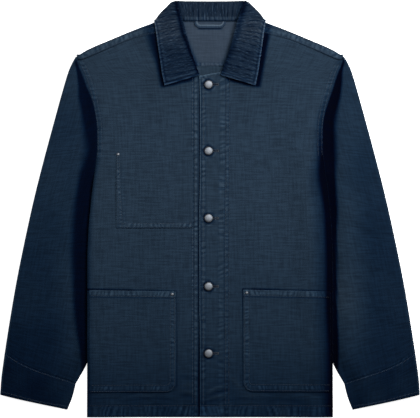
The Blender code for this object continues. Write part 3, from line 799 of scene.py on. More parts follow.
def pocket_shadow(x, y, pocket, left):
    """How light a front stays round its pocket: darkest just above the top, most where the patch gapes."""
    share = (x - pocket.inner_x) / (pocket.outer_x - pocket.inner_x)
    top_y = mix(pocket.inner_top_y, pocket.outer_top_y, share)
    inner = x - pocket.inner_x
    if left:
        gaping = ramp(inner, 8, 20) * ramp(inner, 90, 62)
    else:
        gaping = ramp(x - pocket.outer_x, -92, -76)
    beside = (inner > -3) * (y > pocket.bottom_y + 10) * (y < top_y + 3)
    near_top = hump(y - top_y, 0.9, 1.7 + 0.9 * gaping, 4) * (inner > -1)
    near_inner = hump(inner, -0.6, 1.5) * beside
    near_bottom = hump(y - pocket.bottom_y, -0.6, 1.8) * (inner > 12)
    return (1 - mix(0.75, 0.96, gaping) * near_top) * (1 - 0.8 * near_inner) * (1 - 0.3 * near_bottom)


def button_marks(x, y, height, shade, wear):
    """A slit for each button, painted dark as shade, a painted shadow ring round each button, and the worn
    ring that the button presses round itself.
    """
    for hole_y in BUTTON_YS:
        slit = hump(y, hole_y, 1.7) * ramp(np.abs(x - HOLE_X), HOLE_HALF + 1.5, HOLE_HALF - 1)
        off_x, off_y = x - BUTTON_X, y - hole_y
        far = np.hypot(off_x, off_y)
        turn = np.arctan2(off_y, off_x)
        ring = hump(far, 9.6, 2.0, 4)
        height = height - 0.7 * slit
        # Painted shade in the slit, and a painted shadow ring round the button, darker on one side.
        shade = shade * (1 - 0.82 * slit)
        shade = shade * (1 - ring * (0.74 - 0.16 * np.cos(turn - 0.5)))
        wear = wear + 0.34 * hump(far, 13.2, 1.7) * np.sin(4.3 * turn + hole_y)
    return height, shade, wear


def top_edge_marks(x, y, shade, wear):
    """The left front's folded edges are rubbed pale, and a dark line runs inside the front edge."""
    inside = x - x[:, :1]
    shade = shade * (1 - 0.42 * hump(inside, 3.0, 1.0) * (y < 252))
    worn_edge = 1 - ramp(inside, 0.2, 1.9)
    worn_top = hump(nearest(x, y, [(-20, 252.7), (18.8, 259.4), (31, 267)])[0], 0, 1.5)
    wear = wear + np.maximum((0.75 + 0.25 * ramp(y, 100, 220)) * worn_edge, 1.1 * worn_top)
    wear = wear + 0.42 * ramp(y, -370, -378) * ramp(x, 30, 20)
    return shade, wear


def lap_shadow(x, y):
    """How near a place on the right front is to the left front's edge, which shades and presses it."""
    wide = mix(2.6, 1.5, ramp(y, -330, -190))
    return hump(-x, edge_x(y) - wide * 0.7, wide, 4) * (y < 253)


# %% Make the fronts
def make_front(left):
    side = 1 if left else -1
    seam_xs = (-12, 18, 33) if left else (28, 37)
    x, y, out, up = front_places(left, seam_xs)
    stand = lapped_z if left else front_z
    z = stand(side * x, y)
    height, wear = front_relief(x, y, left)
    creases = LEFT_CREASES if left else RIGHT_CREASES
    low_creases = [crease for crease in creases if crease.width < LOW_CREASE_WIDTH]
    # Painted shade: the low narrow creases are painted darker in their troughs and lighter on their ridges.
    shade = body_shade(x, y, side) * np.exp(LOW_CREASE_SHADE * creased(x, y, low_creases))
    shade = shade * pocket_shadow(x, y, LOWER_LEFT if left else LOWER_RIGHT, left)
    if left:
        height, shade, wear = button_marks(x, y, height, shade, wear)
        shade, wear = top_edge_marks(x, y, shade, wear)
    else:
        near_lap = lap_shadow(x, y)
        shade = shade * (1 - 0.95 * near_lap)
        height = height - 0.3 * near_lap
    grid = np.stack([x, y, z + height], -1)
    roll = grid[:, -1:, :] + np.stack([out, np.zeros_like(out), up], -1)
    grid = np.concatenate([grid, roll], 1)
    # The rolled side edge is painted darker, as shade.
    shade = np.concatenate([shade, np.repeat(shade[:, -1:], CURL_STEPS, 1) * 0.8], 1)
    wear = np.concatenate([wear, np.repeat(wear[:, -1:], CURL_STEPS, 1)], 1)
    if not left:
        grid = grid[:, ::-1] * (-1, 1, 1)
        shade, wear = shade[:, ::-1], wear[:, ::-1]
    name = "left_front_panel" if left else "right_front_panel"
    panel = shell(name, grid, CANVAS, navy, shade=shade, wear=wear)
    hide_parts("front_left" if left else "front_right")


make_front(True)
make_front(False)

# %% [markdown]
# ## The back
# The back is one wide panel. It goes up to the neck, and on each side it folds forward over the top of
# the shoulder and is sewn to the front a little below the fold, where the double row of stitches shows.

# %% The back's rows
BACK_SHARES = np.unique(np.concatenate([np.linspace(0, 0.3, 20), np.linspace(0.3, 1, 50)]))
NECK_SHARE = 0.3


def neck_y(x):
    return 357 + 7 * ramp(x, 48, NECK_HALF)


def over_shoulder(side):
    """The fold along the shoulder, the seam in front of it, and the way from fold to seam."""
    flat_end = float(flat_edge(np.array(SHOULDER_END[1]), side))
    x = BACK_SHARES * flat_end
    fold_y = np.where(x >= NECK_HALF - 4, read(SHOULDER_ROWS, "x", "fold_y", x), neck_y(x))
    seam_x = mix(72, SEAM_END_X - (SHOULDER_END[0] - flat_end), (x - NECK_HALF) / (flat_end - NECK_HALF))
    fold = np.stack([x, fold_y], -1)
    seam = np.stack([seam_x, read(SHOULDER_ROWS, "x", "seam_y", seam_x) + 0.3], -1)
    inward = (seam - fold) / np.linalg.norm(seam - fold, axis=1, keepdims=True)
    return fold, seam, inward


SHOULDER_SEAMS = (Seam(shoulder_line(7.2), 5.4, 0.45, 7.5, 0.42, 0.5, 0.4),)


def back_half(side):
    fold, seam, inward = over_shoulder(side)
    radius = SIDE_LOFT / 2
    folds_over = (BACK_SHARES >= NECK_SHARE - 1e-6)[:, None]
    top = fold + radius * inward * folds_over
    ys = stops(HEM_Y, 245, 5.0, 2.4, (HEM_Y, -373.4), 10)
    rows = [(BACK_SHARES * flat_edge(np.array(y), side), np.full(len(BACK_SHARES), y)) for y in ys]
    low = np.stack(rows[-1], -1)
    for share in np.linspace(0, 1, 26)[1:]:
        row = mix(low, top, share)
        end_x, end_y = row[-1]
        rows.append((row[:, 0] * float(flat_edge(np.array(end_y), side)) / end_x, row[:, 1]))
    x, y = (np.array(part) for part in zip(*rows))
    z = back_z(x, y)
    hem, wear = sewn(x, y, [Seam(HEM_BAND, 10.2, 0.4, 12.0, 0.3, 0.4)])
    out, up = curl(y[:, -1], side, 1)
    grid = np.stack([x, y, z + np.abs(hem) * 0.3], -1)
    roll = grid[:, -1:, :] + np.stack([out, np.zeros_like(out), up], -1)
    grid = np.concatenate([grid, roll], 1)
    flat = np.arange(1, CURL_STEPS + 1) / CURL_STEPS * out[-1, -1]
    wraps = []
    for turn in np.radians(np.linspace(0, 180, 15)[1:]):
        plan = top - radius * math.sin(turn) * inward
        height = back_z(top[:, 0], top[:, 1]) + radius * (1 - math.cos(turn))
        wraps.append(np.concatenate([plan, height[:, None]], 1))
    for share in np.linspace(0, 1, 9)[1:]:
        plan = mix(top, seam, share)
        wraps.append(np.concatenate([plan, front_z(plan[:, 0], plan[:, 1])[:, None]], 1))
    wraps = np.array(wraps)
    relief, worn = sewn(wraps[..., 0], wraps[..., 1], SHOULDER_SEAMS)
    wraps[..., 2] += relief * np.linspace(0, 1, len(wraps))[:, None] ** 0.5
    ends = wraps[:, -1:, :] + np.stack([flat, 0 * flat, 0 * flat], -1)
    wraps = np.concatenate([wraps, ends], 1)
    in_neck = ramp(y, 236, 250) * ramp(x, 62, 48)
    shade = body_shade(x, y, side)
    wear = wear + 0.17 * in_neck
    # Painted shade: the rolled side edge is painted darker, and the shoulder wraps carry part of the collar
    # leaves' painted shadow.
    shade = np.concatenate([shade, np.full((len(x), CURL_STEPS), 0.6)], 1)
    shade = np.concatenate([shade, mix(1, under_leaf(wraps[..., 0], wraps[..., 1], side), 0.72)])
    wear = np.concatenate([wear, np.zeros((len(x), CURL_STEPS))], 1)
    worn = np.concatenate([worn, np.repeat(worn[:, -1:], CURL_STEPS, 1)], 1)
    return np.concatenate([grid, wraps]), shade, np.concatenate([wear, worn]), len(grid)


# %% Make the back
right_half, right_shade, right_wear, body_rows = back_half(1)
left_half, left_shade, left_wear, _ = back_half(-1)
back_grid = np.concatenate([left_half[:, :0:-1] * (-1, 1, 1), right_half], 1)
back_shade = np.concatenate([left_shade[:, :0:-1], right_shade], 1)
back_wear = np.concatenate([left_wear[:, :0:-1], right_wear], 1)
centre = left_half.shape[1] - 1
neck_column = int(np.argmin(np.abs(BACK_SHARES - NECK_SHARE)))
there = np.ones((back_grid.shape[0] - 1, back_grid.shape[1] - 1), bool)
there[body_rows - 1:, centre - neck_column:centre + neck_column] = False
back_panel = shell(
    "back_panel", back_grid, CANVAS, navy,
    shade=back_shade, wear=back_wear, present=there, outside_down=True)
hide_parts("back")

# %% [markdown]
# ## The sleeves
# A sleeve is a tube that narrows to the wrist. It is sewn to the armhole above, and below that it
# closes on itself in the underarm seam. Laid flat it has a soft rounded outer fold, and beside the
# body it dips into a valley, because its inner edge is tucked under the body.

# %% The sleeve's rows
SleeveEdge = namedtuple("SleeveEdge", "y x")
SLEEVE_EDGE = (
    SleeveEdge(-352.5, 398.0),
    SleeveEdge(-325, 396.0),
    SleeveEdge(-287, 391.1),
    SleeveEdge(-211, 379.4),
    SleeveEdge(-135, 366.3),
    SleeveEdge(-59, 350.9),
    SleeveEdge(17, 334.1),
    SleeveEdge(93, 315.0),
    SleeveEdge(169, 294.5),
    SleeveEdge(226, 278.7),
    SleeveEdge(264, 267.0),
    SleeveEdge(279, 260.0),
    SleeveEdge(289, 254.4),
)
SleeveRow = namedtuple("SleeveRow", "inner_y tuck seam_z outer_y")
SLEEVE_ROWS = (
    SleeveRow(-331, -22.2, 1.6, -272.5),
    SleeveRow(-293, -1.6, 1.6, -249),
    SleeveRow(-250, 12.0, 1.6, -222),
    SleeveRow(-200, 24.0, 1.6, -184),
    SleeveRow(-130, 29.0, 1.6, -126),
    SleeveRow(-60, 28.0, 1.6, -66),
    SleeveRow(0, 20.0, 1.7, -16),
    SleeveRow(36, 8.0, 2.6, 18),
    SleeveRow(56, 1.5, 5.6, 40),
    SleeveRow(70, 0.4, 10.2, 55),
    SleeveRow(84, 0.5, 11.4, 70),
    SleeveRow(101, 0, 9, 88),
    SleeveRow(118, 0, 6, 106),
    SleeveRow(150, 0, 5, 141),
    SleeveRow(180, 0, 5, 174),
    SleeveRow(215, 0, 5, 210),
    SleeveRow(245, 0, 5, 241),
    SleeveRow(256, 0, 5, 253),
    SleeveRow(267, 0, 5, 265),
    SleeveRow(277.5, 0, 5, 277.5),
    SleeveRow(281.5, 0, 5, 282),
    SleeveRow(288.4, 0, 5, 288.8),
)
CUFF_ROWS = (
    SleeveRow(-381, -38.2, 1.6, -352.5),
    SleeveRow(-356, -28.6, 1.6, -313),
    SleeveRow(-331.6, -22.5, 1.6, -273.1),
)
CUFF_SAG = 6.6
SAG_SHAPE = 6.75
UNDER_SHADE = 0.7
VALLEY = 2.6
CROWN = 12.6
OUTER_ROUND = 4.0


def sleeve_grid(table, inner_y, side, sag, crown):
    """Places round a flattened tube: from the inner end over the top, round the outer fold and back."""
    outer_y = read(table, "inner_y", "outer_y", inner_y)
    outer = np.stack([read(SLEEVE_EDGE, "y", "x", outer_y), outer_y], -1)
    sewn_in = ramp(inner_y, 70, 84)
    edge = half_width(inner_y)
    radius = edge_radius(inner_y, side)
    turn = np.radians(read(BODY_ROWS, "y", "curl", inner_y))
    rise = np.where(turn > 0.01, radius * math.pi / 2 / np.maximum(turn, 0.01) * (1 - np.cos(turn)), 0)
    inner_x = edge + mix(-read(table, "inner_y", "tuck", inner_y), -0.5, sewn_in)
    seam_z = read(table, "inner_y", "seam_z", inner_y)
    high = front_z(side * edge, inner_y) - rise + REST * np.sin(turn)
    low = back_z(side * edge, inner_y) + rise - REST * np.sin(turn)
    top_z = mix(seam_z + PLY / 2, high, sewn_in)
    under_z = mix(seam_z - PLY / 2, low, sewn_in)
    inner = np.stack([inner_x, inner_y], -1)
    width = np.linalg.norm(outer - inner, axis=1)
    flat = width - OUTER_ROUND
    shares = np.concatenate([np.linspace(0, 30, 13) / 150, stops(0.2, 1, 0.027, 0.027)[1:]])
    count = len(shares)

    def plan(distance):
        share = distance / width[:, None]
        place = inner[:, None] + (outer - inner)[:, None] * share[..., None]
        place[..., 1] -= sag[:, None] * SAG_SHAPE * share**2 * (1 - share)
        return place

    def free_height(place):
        start = np.maximum(half_width(place[..., 1]), inner_x[:, None])
        depth = ramp(place[..., 1], 286, 205)
        wide = mix(30, 46, ramp(place[..., 1], 260, 120)) * (1 if side < 0 else 0.8)
        dip = 1 - depth * (1 - ramp(place[..., 0], start + 1, start + wide))
        return mix(VALLEY, crown[:, None], dip)

    distance = shares * flat[:, None]
    above = plan(distance)
    top = mix(top_z[:, None], free_height(above), ramp(distance, 0, 26))
    end_z = top[:, -1]
    turns = np.radians(np.linspace(0, 180, 9)[1:-1])
    bend = plan(flat[:, None] + OUTER_ROUND * np.sin(turns)[None, :])
    bend_z = REST + (end_z[:, None] - REST) / 2 * (1 + np.cos(turns)[None, :])
    below = plan(distance[:, ::-1])
    under = mix(under_z[:, None], REST, ramp(distance[:, ::-1], 0, 26))
    grid = np.concatenate([
        np.concatenate([above, top[..., None]], -1),
        np.concatenate([bend, bend_z[..., None]], -1),
        np.concatenate([below, under[..., None]], -1),
    ], 1)
    return grid, count


SLEEVE_CREASES = (
    Crease(226, 96, 292, 60, 10, 1.8),
    Crease(232, 60, 300, 10, 9, -1.5),
    Crease(238, 20, 310, -50, 12, 1.5),
    Crease(262, -30, 330, -70, 10, -1.3),
    Crease(258, -84, 345, -104, 13, 1.4),
    Crease(270, -140, 352, -122, 10, -1.1),
    Crease(262, -176, 366, -196, 14, 1.2),
    Crease(264, -236, 372, -226, 11, -1.0),
    Crease(250, 196, 268, 120, 10, 0.8),
    Crease(285, 180, 300, 70, 11, -0.8),
)
CUFF_LINE = [
    (mix(254.8, 389.7, t), mix(-331.5, -272.6, t) - CUFF_SAG * SAG_SHAPE * t * t * (1 - t))
    for t in np.linspace(0, 1, 12)
]
CUFF_HEM = [(271.4, -374.8), (300, -370.2), (332, -364), (366, -354.6), (397, -346.4)]
SLEEVE_SEAMS = (
    Seam([(x, y + 2.6) for x, y in CUFF_LINE], 2.6, 0.2, 7.5, 0.3, 0.2),
)


# The painted light on each sleeve: how brightly it is painted on the half beside the body and on the outer
# half.
LightRow = namedtuple("LightRow", "y inner outer")
LEFT_LIGHT = (
    LightRow(-325, 0.98, 0.95),
    LightRow(-249, 1.35, 0.88),
    LightRow(-173, 1.8, 0.78),
    LightRow(-78, 1.12, 0.64),
    LightRow(17, 0.98, 0.6),
    LightRow(112, 0.86, 0.66),
    LightRow(207, 0.84, 0.82),
)
RIGHT_LIGHT = (
    LightRow(-325, 1.5, 0.85),
    LightRow(-249, 1.55, 0.88),
    LightRow(-173, 1.45, 1.02),
    LightRow(-78, 1.18, 0.92),
    LightRow(17, 1.0, 0.98),
    LightRow(112, 1.02, 0.94),
    LightRow(207, 1.02, 1.02),
)


def sleeve_shade(x, y, side):
    """Painted shade on a sleeve: darkest in the hidden valley beside the body, darker towards the cuff and on
    the right sleeve, and painted lighter or darker across each half from the tables, with a slow random
    change.
    """
    table = dark_table(side)
    out = x - half_width(y)
    start, full, fade = (read(table, "y", name, y) for name in ("start", "full", "fade"))
    dark = (1 - ramp((out - full) / fade, 0, 1)) * ramp((out - start + 3) / 4, 0, 1)
    dark = dark * ramp(y, -400, -370) * (0.97 if side > 0 else 0.88)
    high = 0.86 if side > 0 else 0.66
    light = mix(0.42 * high, high, ramp(y, -395, 90))
    half = LEFT_LIGHT if side > 0 else RIGHT_LIGHT
    light = light * mix(read(half, "y", "inner", y), read(half, "y", "outer", y), ramp(out, 24, 84))
    light = light * (1 + 0.09 * rolling(1.7 * x, 1.7 * y, 2.2 * side))
    return (1 - dark) * light


# %% Make the sleeves and cuffs
def make_sleeve(side):
    ys = np.unique(np.concatenate([np.linspace(-331, 100, 150), np.linspace(100, 288.2, 70)]))
    sag = CUFF_SAG * ramp(ys, -270, -331)
    grid, count = sleeve_grid(SLEEVE_ROWS, ys, side, sag, np.full(len(ys), CROWN))
    x, y = grid[..., 0], grid[..., 1]
    height, wear = sewn(x, y, SLEEVE_SEAMS)
    scale = 1 if side > 0 else -0.85
    creases = [crease._replace(height=crease.height * scale) for crease in SLEEVE_CREASES]
    height = height + creased(x, y, creases)
    height += 0.5 * rolling(x, y, 3.1 * side)
    on_top = np.arange(grid.shape[1]) < count
    clear = ramp(x - half_width(y), 2, 16)
    grid[..., 2] += height * on_top * clear
    shade = np.where(on_top, sleeve_shade(x, y, side), UNDER_SHADE)
    wear = wear * on_top
    name, word = ("sleeve_left", "left") if side > 0 else ("sleeve_right", "right")
    if side < 0:
        grid = grid * (-1, 1, 1)
    piece = shell(word + "_sleeve_tube", grid, CANVAS, navy, flip=side < 0, shade=shade, wear=wear)
    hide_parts(name)


def make_cuff(side):
    ys = np.linspace(-381, -331.6, 26)
    sag = CUFF_SAG * ramp(ys, -395, -331.6)
    crown = mix(6.5, CROWN + 0.4, ramp(ys, -392, -331))
    grid, count = sleeve_grid(CUFF_ROWS, ys, side, sag, crown)
    x, y = grid[..., 0], grid[..., 1]
    seams = (
        Seam([(x, y - 2.4) for x, y in CUFF_LINE], 2.4, 0.35, 8.0, 0.34, 0.3, 0.35),
        Seam(CUFF_HEM, 3.4, 0.35, 8.0, 0.3, 0.3),
    )
    height, wear = sewn(x, y, seams)
    on_top = np.arange(grid.shape[1]) < count
    grid[..., 2] += (height + 0.3 * rolling(x, y, 5.0 * side)) * on_top
    lip = ramp(nearest(x, y, [(a, b - 6.3) for a, b in CUFF_HEM])[0], 3, 0)
    blotchy = 0.94 + 0.2 * rolling(2.8 * x, 3.1 * y, 1.3 * side)
    shade = np.where(on_top, sleeve_shade(x, y, side) * blotchy, UNDER_SHADE)
    shade = shade * (1 - 0.45 * lip)
    wear = wear * on_top
    name, word = ("cuff_left", "left") if side > 0 else ("cuff_right", "right")
    if side < 0:
        grid = grid * (-1, 1, 1)
    piece = shell(word + "_cuff_band", grid, CANVAS, navy, flip=side < 0, shade=shade, wear=wear)
    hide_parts(name)


for side in (1, -1):
    make_sleeve(side)
    make_cuff(side)

# %% [markdown]
# ## The patch pockets
# A patch pocket is a separate piece of canvas sewn on the front along three sides, with its top
# turned down and stitched. It follows the front under it, a little more than one ply higher, so it is
# made from the front's own height. The lower pockets lift a little more along their tops.

# %% Pockets
PATCH_RISE = 1.9
LOWER_LENGTH = 192
CHEST_LENGTH = 142


def pocket_edge(pocket, inset, low_inset=None):
    """The pocket's inner side and bottom, moved in from the edge, round the corner."""
    low_inset = inset if low_inset is None else low_inset
    x, y = pocket.inner_x + inset, pocket.bottom_y + low_inset
    radius = max(pocket.corner - inset, 1.0)
    turns = np.radians(np.linspace(0, 90, 7))
    bend = [(x + radius * (1 - math.sin(t)), y + radius * (1 - math.cos(t))) for t in turns[::-1]]
    return [(x, pocket.inner_top_y - 1)] + bend + [(pocket.outer_x - 1, y)]


def pocket_seams(pocket, kind):
    if kind == "chest":
        side = pocket.outer_x
        return (
            Seam([(side - 3.0, 104), (side - 4.5, 40), (side - 9, -28)], 2.6, 0.25, 7.5, 0.38, 0.3),
            Seam([(side - 11, 80), (side - 15, -28)], 2.0, 0.1, 7.5, 0.16, 0.2),
            Seam([(34, -31.5), (side - 6, -31.0)], 4.0, 0.38, 8.0, 0.36, 0.35, 0.5),
        )
    top = [(pocket.inner_x, pocket.inner_top_y - 5.4), (pocket.outer_x, pocket.outer_top_y - 5.4)]
    return (
        Seam(pocket_edge(pocket, 6.6, 7.6), 4.2, 0.32, 7.8, 0.36, 0.3),
        Seam(top, 4.6, 0.3, 8.0, 0.36, 0.4),
    )


POCKET_CREASES = {
    "left": (
        Crease(80, -200, 140, -330, 22, 0.9),
        Crease(150, -180, 215, -250, 18, -0.8),
        Crease(110, -240, 190, -300, 16, 0.6),
    ),
    "right": (
        Crease(90, -330, 150, -210, 20, -0.8),
        Crease(190, -190, 120, -260, 17, 0.9),
        Crease(200, -270, 150, -330, 15, 0.7),
    ),
    "chest": (
        Crease(60, 80, 120, 10, 20, 0.7),
        Crease(160, 70, 110, -10, 17, -0.6),
    ),
}


def pocket_relief(x, y, pocket, kind):
    height, wear = sewn(x, y, pocket_seams(pocket, kind))
    return height + creased(x, y, POCKET_CREASES[kind]) + 0.25 * rolling(x, y, 4.4), wear


def make_pocket(pocket, kind, node_name):
    """A patch, drawn with its outer side at +X."""
    side = 1 if kind == "left" else -1
    ys = stops(pocket.bottom_y, pocket.inner_top_y, 2.4, 1.3, (pocket.bottom_y, pocket.inner_top_y), 12)
    xs = stops(pocket.inner_x, pocket.outer_x, 2.4, 1.3, (pocket.inner_x, pocket.outer_x), 12)
    x, y = np.meshgrid(xs, ys)
    share = (x - pocket.inner_x) / (pocket.outer_x - pocket.inner_x)
    up = (y - pocket.bottom_y) / (pocket.inner_top_y - pocket.bottom_y)
    y = y + up * share * (pocket.outer_top_y - pocket.inner_top_y)
    rise = np.clip((pocket.bottom_y + pocket.corner - y) / pocket.corner, 0, 1)
    cut_in = pocket.corner * (1 - np.sqrt(1 - rise**2))
    x = x + cut_in * (1 - share) ** 3
    stand = lapped_z if side > 0 else front_z
    under, _ = front_relief(x, y, side > 0)
    height, wear = pocket_relief(x, y, pocket, kind)
    lift = 1.2 * ramp(up, 0.86, 1) * np.sin(math.pi * share) if kind != "chest" else 0.0
    z = stand(side * x, y) + under + PATCH_RISE + height + lift
    # Painted shade: the body's painted shade, darker along the pocket's bottom edge and, on the lower
    # pockets, in a line under the top band.
    shade = body_shade(x, y, side)
    if kind == "chest":
        fold = 0.15 * hump(x, pocket.outer_x, 1.4)
        band = 0.0
        shade = shade * (1 - 0.3 * hump(up * CHEST_LENGTH, 0, 1.8))
    else:
        above = up * LOWER_LENGTH
        fold = 0.6 * hump(above, LOWER_LENGTH, 1.6) + 0.2 * hump(x, x[:, :1], 1.4)
        band = 0.12 * ramp(above, 180.7, 182.3)
        shade = shade * (1 - 0.55 * hump(above, 179.6, 1.3)) * (1 - 0.45 * hump(above, 0.6, 1.6))
    wear = wear + 0.5 * fold + band
    grid = np.stack([x, y, z], -1)
    if side < 0:
        grid = grid[:, ::-1] * (-1, 1, 1)
        shade, wear = shade[:, ::-1], wear[:, ::-1]
    piece = shell(kind + "_patch", grid, CANVAS, navy, shade=shade, wear=wear)
    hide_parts(node_name)


make_pocket(LOWER_LEFT, "left", "pocket_left")
make_pocket(LOWER_RIGHT, "right", "pocket_right")
make_pocket(CHEST, "chest", "chest_pocket")

# %% [markdown]
# ## Corduroy
# Corduroy is a pile cloth with raised cords, called wales. On a collar they run from the neck to the
# outer edge. The cords are real ridges in the mesh, about two millimetres apart, and the cloth also
# buckles into wavy folds where washing has shrunk the layers unevenly. The pile drinks light between
# the cords and catches it at a glancing angle, so the finish has a strong soft sheen. The collar's
# shell is also painted darker between the cords and in the folds' troughs, as shade.

# %% The corduroy finish
def corduroy():
    finish, tree, shader = start_finish("navy_corduroy")
    cloth, shade, wear = cloth_values(tree)
    pile = streaks(tree, cloth, (1.4, 0.5, 0.5), 4.0)
    patches = streaks(tree, cloth, (0.09, 0.05, 0.1), 3.0)
    tone = sums(tree, "ADD", sums(tree, "MULTIPLY", pile, 0.55), sums(tree, "MULTIPLY", patches, 0.45))
    tone = node(tree, "ShaderNodeMapRange", {0: tone, 1: 0.34, 2: 0.66}).outputs[0]
    colour = blended(tree, "MIX", tone, (0.0035, 0.0070, 0.0145, 1), (0.0140, 0.0235, 0.0390, 1))
    colour = blended(tree, "MIX", wear, colour, (0.055, 0.085, 0.125, 1))
    colour = blended(tree, "MULTIPLY", 1.0, colour, shade_colour(tree, shade))
    tree.links.new(colour, shader.inputs["Base Color"])
    roughened(tree, shader, pile, 0.6, 0.0006)
    rough = node(tree, "ShaderNodeMapRange", {0: pile, 3: 0.85, 4: 1.0}).outputs[0]
    tree.links.new(rough, shader.inputs["Roughness"])
    soft_gloss(shader, 0.06, (0.4, 0.55, 0.8, 1))
    return finish


cord_cloth = corduroy()

# %% The collar's sections
# From the end of one leaf to the centre back: neck seam, roll, two places on the fall, outer edge.
CollarRow = namedtuple("CollarRow", "seam roll fall turn edge")
COLLAR_ROWS = (
    CollarRow((-24, 257, 7.6), (-21.6, 254.6, 10.4), (-40, 248.9, 11.2), (-64, 241.6, 10.8),
              (-85.7, 235, 10.4)),
    CollarRow((-34, 273, 7.8), (-28, 271.5, 13.6), (-47, 266, 13.4), (-70, 260.5, 12), (-90.2, 256, 10.8)),
    CollarRow((-47.4, 293, 8), (-35, 292, 16.4), (-53, 287.5, 15.6), (-74, 283, 13.2), (-93.6, 279, 11.4)),
    CollarRow((-58.8, 316, 8.6), (-41.5, 316, 18.6), (-60, 312.5, 17.6), (-80, 309, 14.6), (-97.6, 305, 12)),
    CollarRow((-67.6, 336, 9.2), (-47, 339, 20), (-65, 338, 18.6), (-84, 335.5, 15.6), (-101.2, 332, 12.6)),
    CollarRow((-70.6, 350, 9.2), (-51, 353, 20.4), (-69, 354, 18.4), (-89, 352.5, 14.6), (-104, 349.5, 12.2)),
    CollarRow((-71, 358, 9), (-54.5, 363, 20.2), (-74, 366, 17), (-94.5, 363, 11), (-105.2, 357.8, 6.4)),
    CollarRow((-70, 362, 8.6), (-57, 371, 19), (-76, 375, 13.4), (-95.6, 369.4, 5), (-101, 353, 1.3)),
    CollarRow((-65, 361, 7.8), (-60.5, 379, 16), (-77, 382, 9.8), (-84, 379.6, 3.0), (-84, 347, 1.3)),
    CollarRow((-56, 358, 7.1), (-64, 388.5, 11.8), (-69.5, 393, 6.8), (-67, 388, 2.1), (-62, 342, 1.3)),
    CollarRow((-40, 357, 6.9), (-42, 386.5, 9.4), (-42, 393.1, 5.5), (-41, 387.6, 1.9), (-36, 337, 1.3)),
    CollarRow((0, 357, 6.9), (0, 386, 9.3), (0, 392.7, 5.4), (0, 387.4, 1.9), (0, 335, 1.3)),
)


def curve_through(points, at):
    """Places on a smooth curve through rows of points, at fractions of their number from 0 to 1."""
    points = np.asarray(points, float)
    ends = np.concatenate([[2 * points[0] - points[1]], points, [2 * points[-1] - points[-2]]])
    place = np.clip(np.asarray(at, float), 0, 1) * (len(points) - 1)
    left = np.clip(place.astype(int), 0, len(points) - 2)
    t = (place - left).reshape((-1,) + (1,) * (points.ndim - 1))
    a, b, c, d = (ends[left + n] for n in range(4))
    bend = (2 * a - 5 * b + 4 * c - d) * t**2 + (3 * b - 3 * c + d - a) * t**3
    return b + ((c - a) * t + bend) / 2


def even_steps(line, count):
    """Fractions that cut a curve into even lengths."""
    fine = np.linspace(0, 1, 600)
    places = curve_through(line, fine)
    run = np.concatenate([[0], np.cumsum(np.linalg.norm(np.diff(places, axis=0), axis=1))])
    return np.interp(np.linspace(0, run[-1], count), run, fine), run[-1]


# %% Make the collar
WALE = 2.0
SIDES_PER_WALE = 3
LIGHTEST_FOLD = 1.18
LEAF_LENGTH = 66
COLLAR_ACROSS = 78

# The painted shade in the crease that runs beside the roll. y: height of the row. middle: centre line to the
# crease.
CreaseRow = namedtuple("CreaseRow", "y middle")
ROLL_CREASE = (
    CreaseRow(262, 24),
    CreaseRow(279, 30.5),
    CreaseRow(298, 38.5),
    CreaseRow(317, 45.8),
    CreaseRow(336, 53),
    CreaseRow(355, 57),
    CreaseRow(374, 61.5),
    CreaseRow(393, 65.5),
)


def roll_crease(x, y):
    """The depth of the painted shade in the crease, which is wider and softer on the wearer's left."""
    off = np.abs(x) - read(ROLL_CREASE, "y", "middle", y)
    on_leaf = hump(np.maximum(off, 0), 0, np.where(x < 0, 3.8, 6.5))
    on_neck = hump(np.minimum(off, 0), 0, 6.5)
    depth = np.where(x < 0, 0.93, mix(0.6, 0.88, ramp(y, 358, 372)))
    return depth * on_leaf * on_neck * ramp(y, 250, 262)


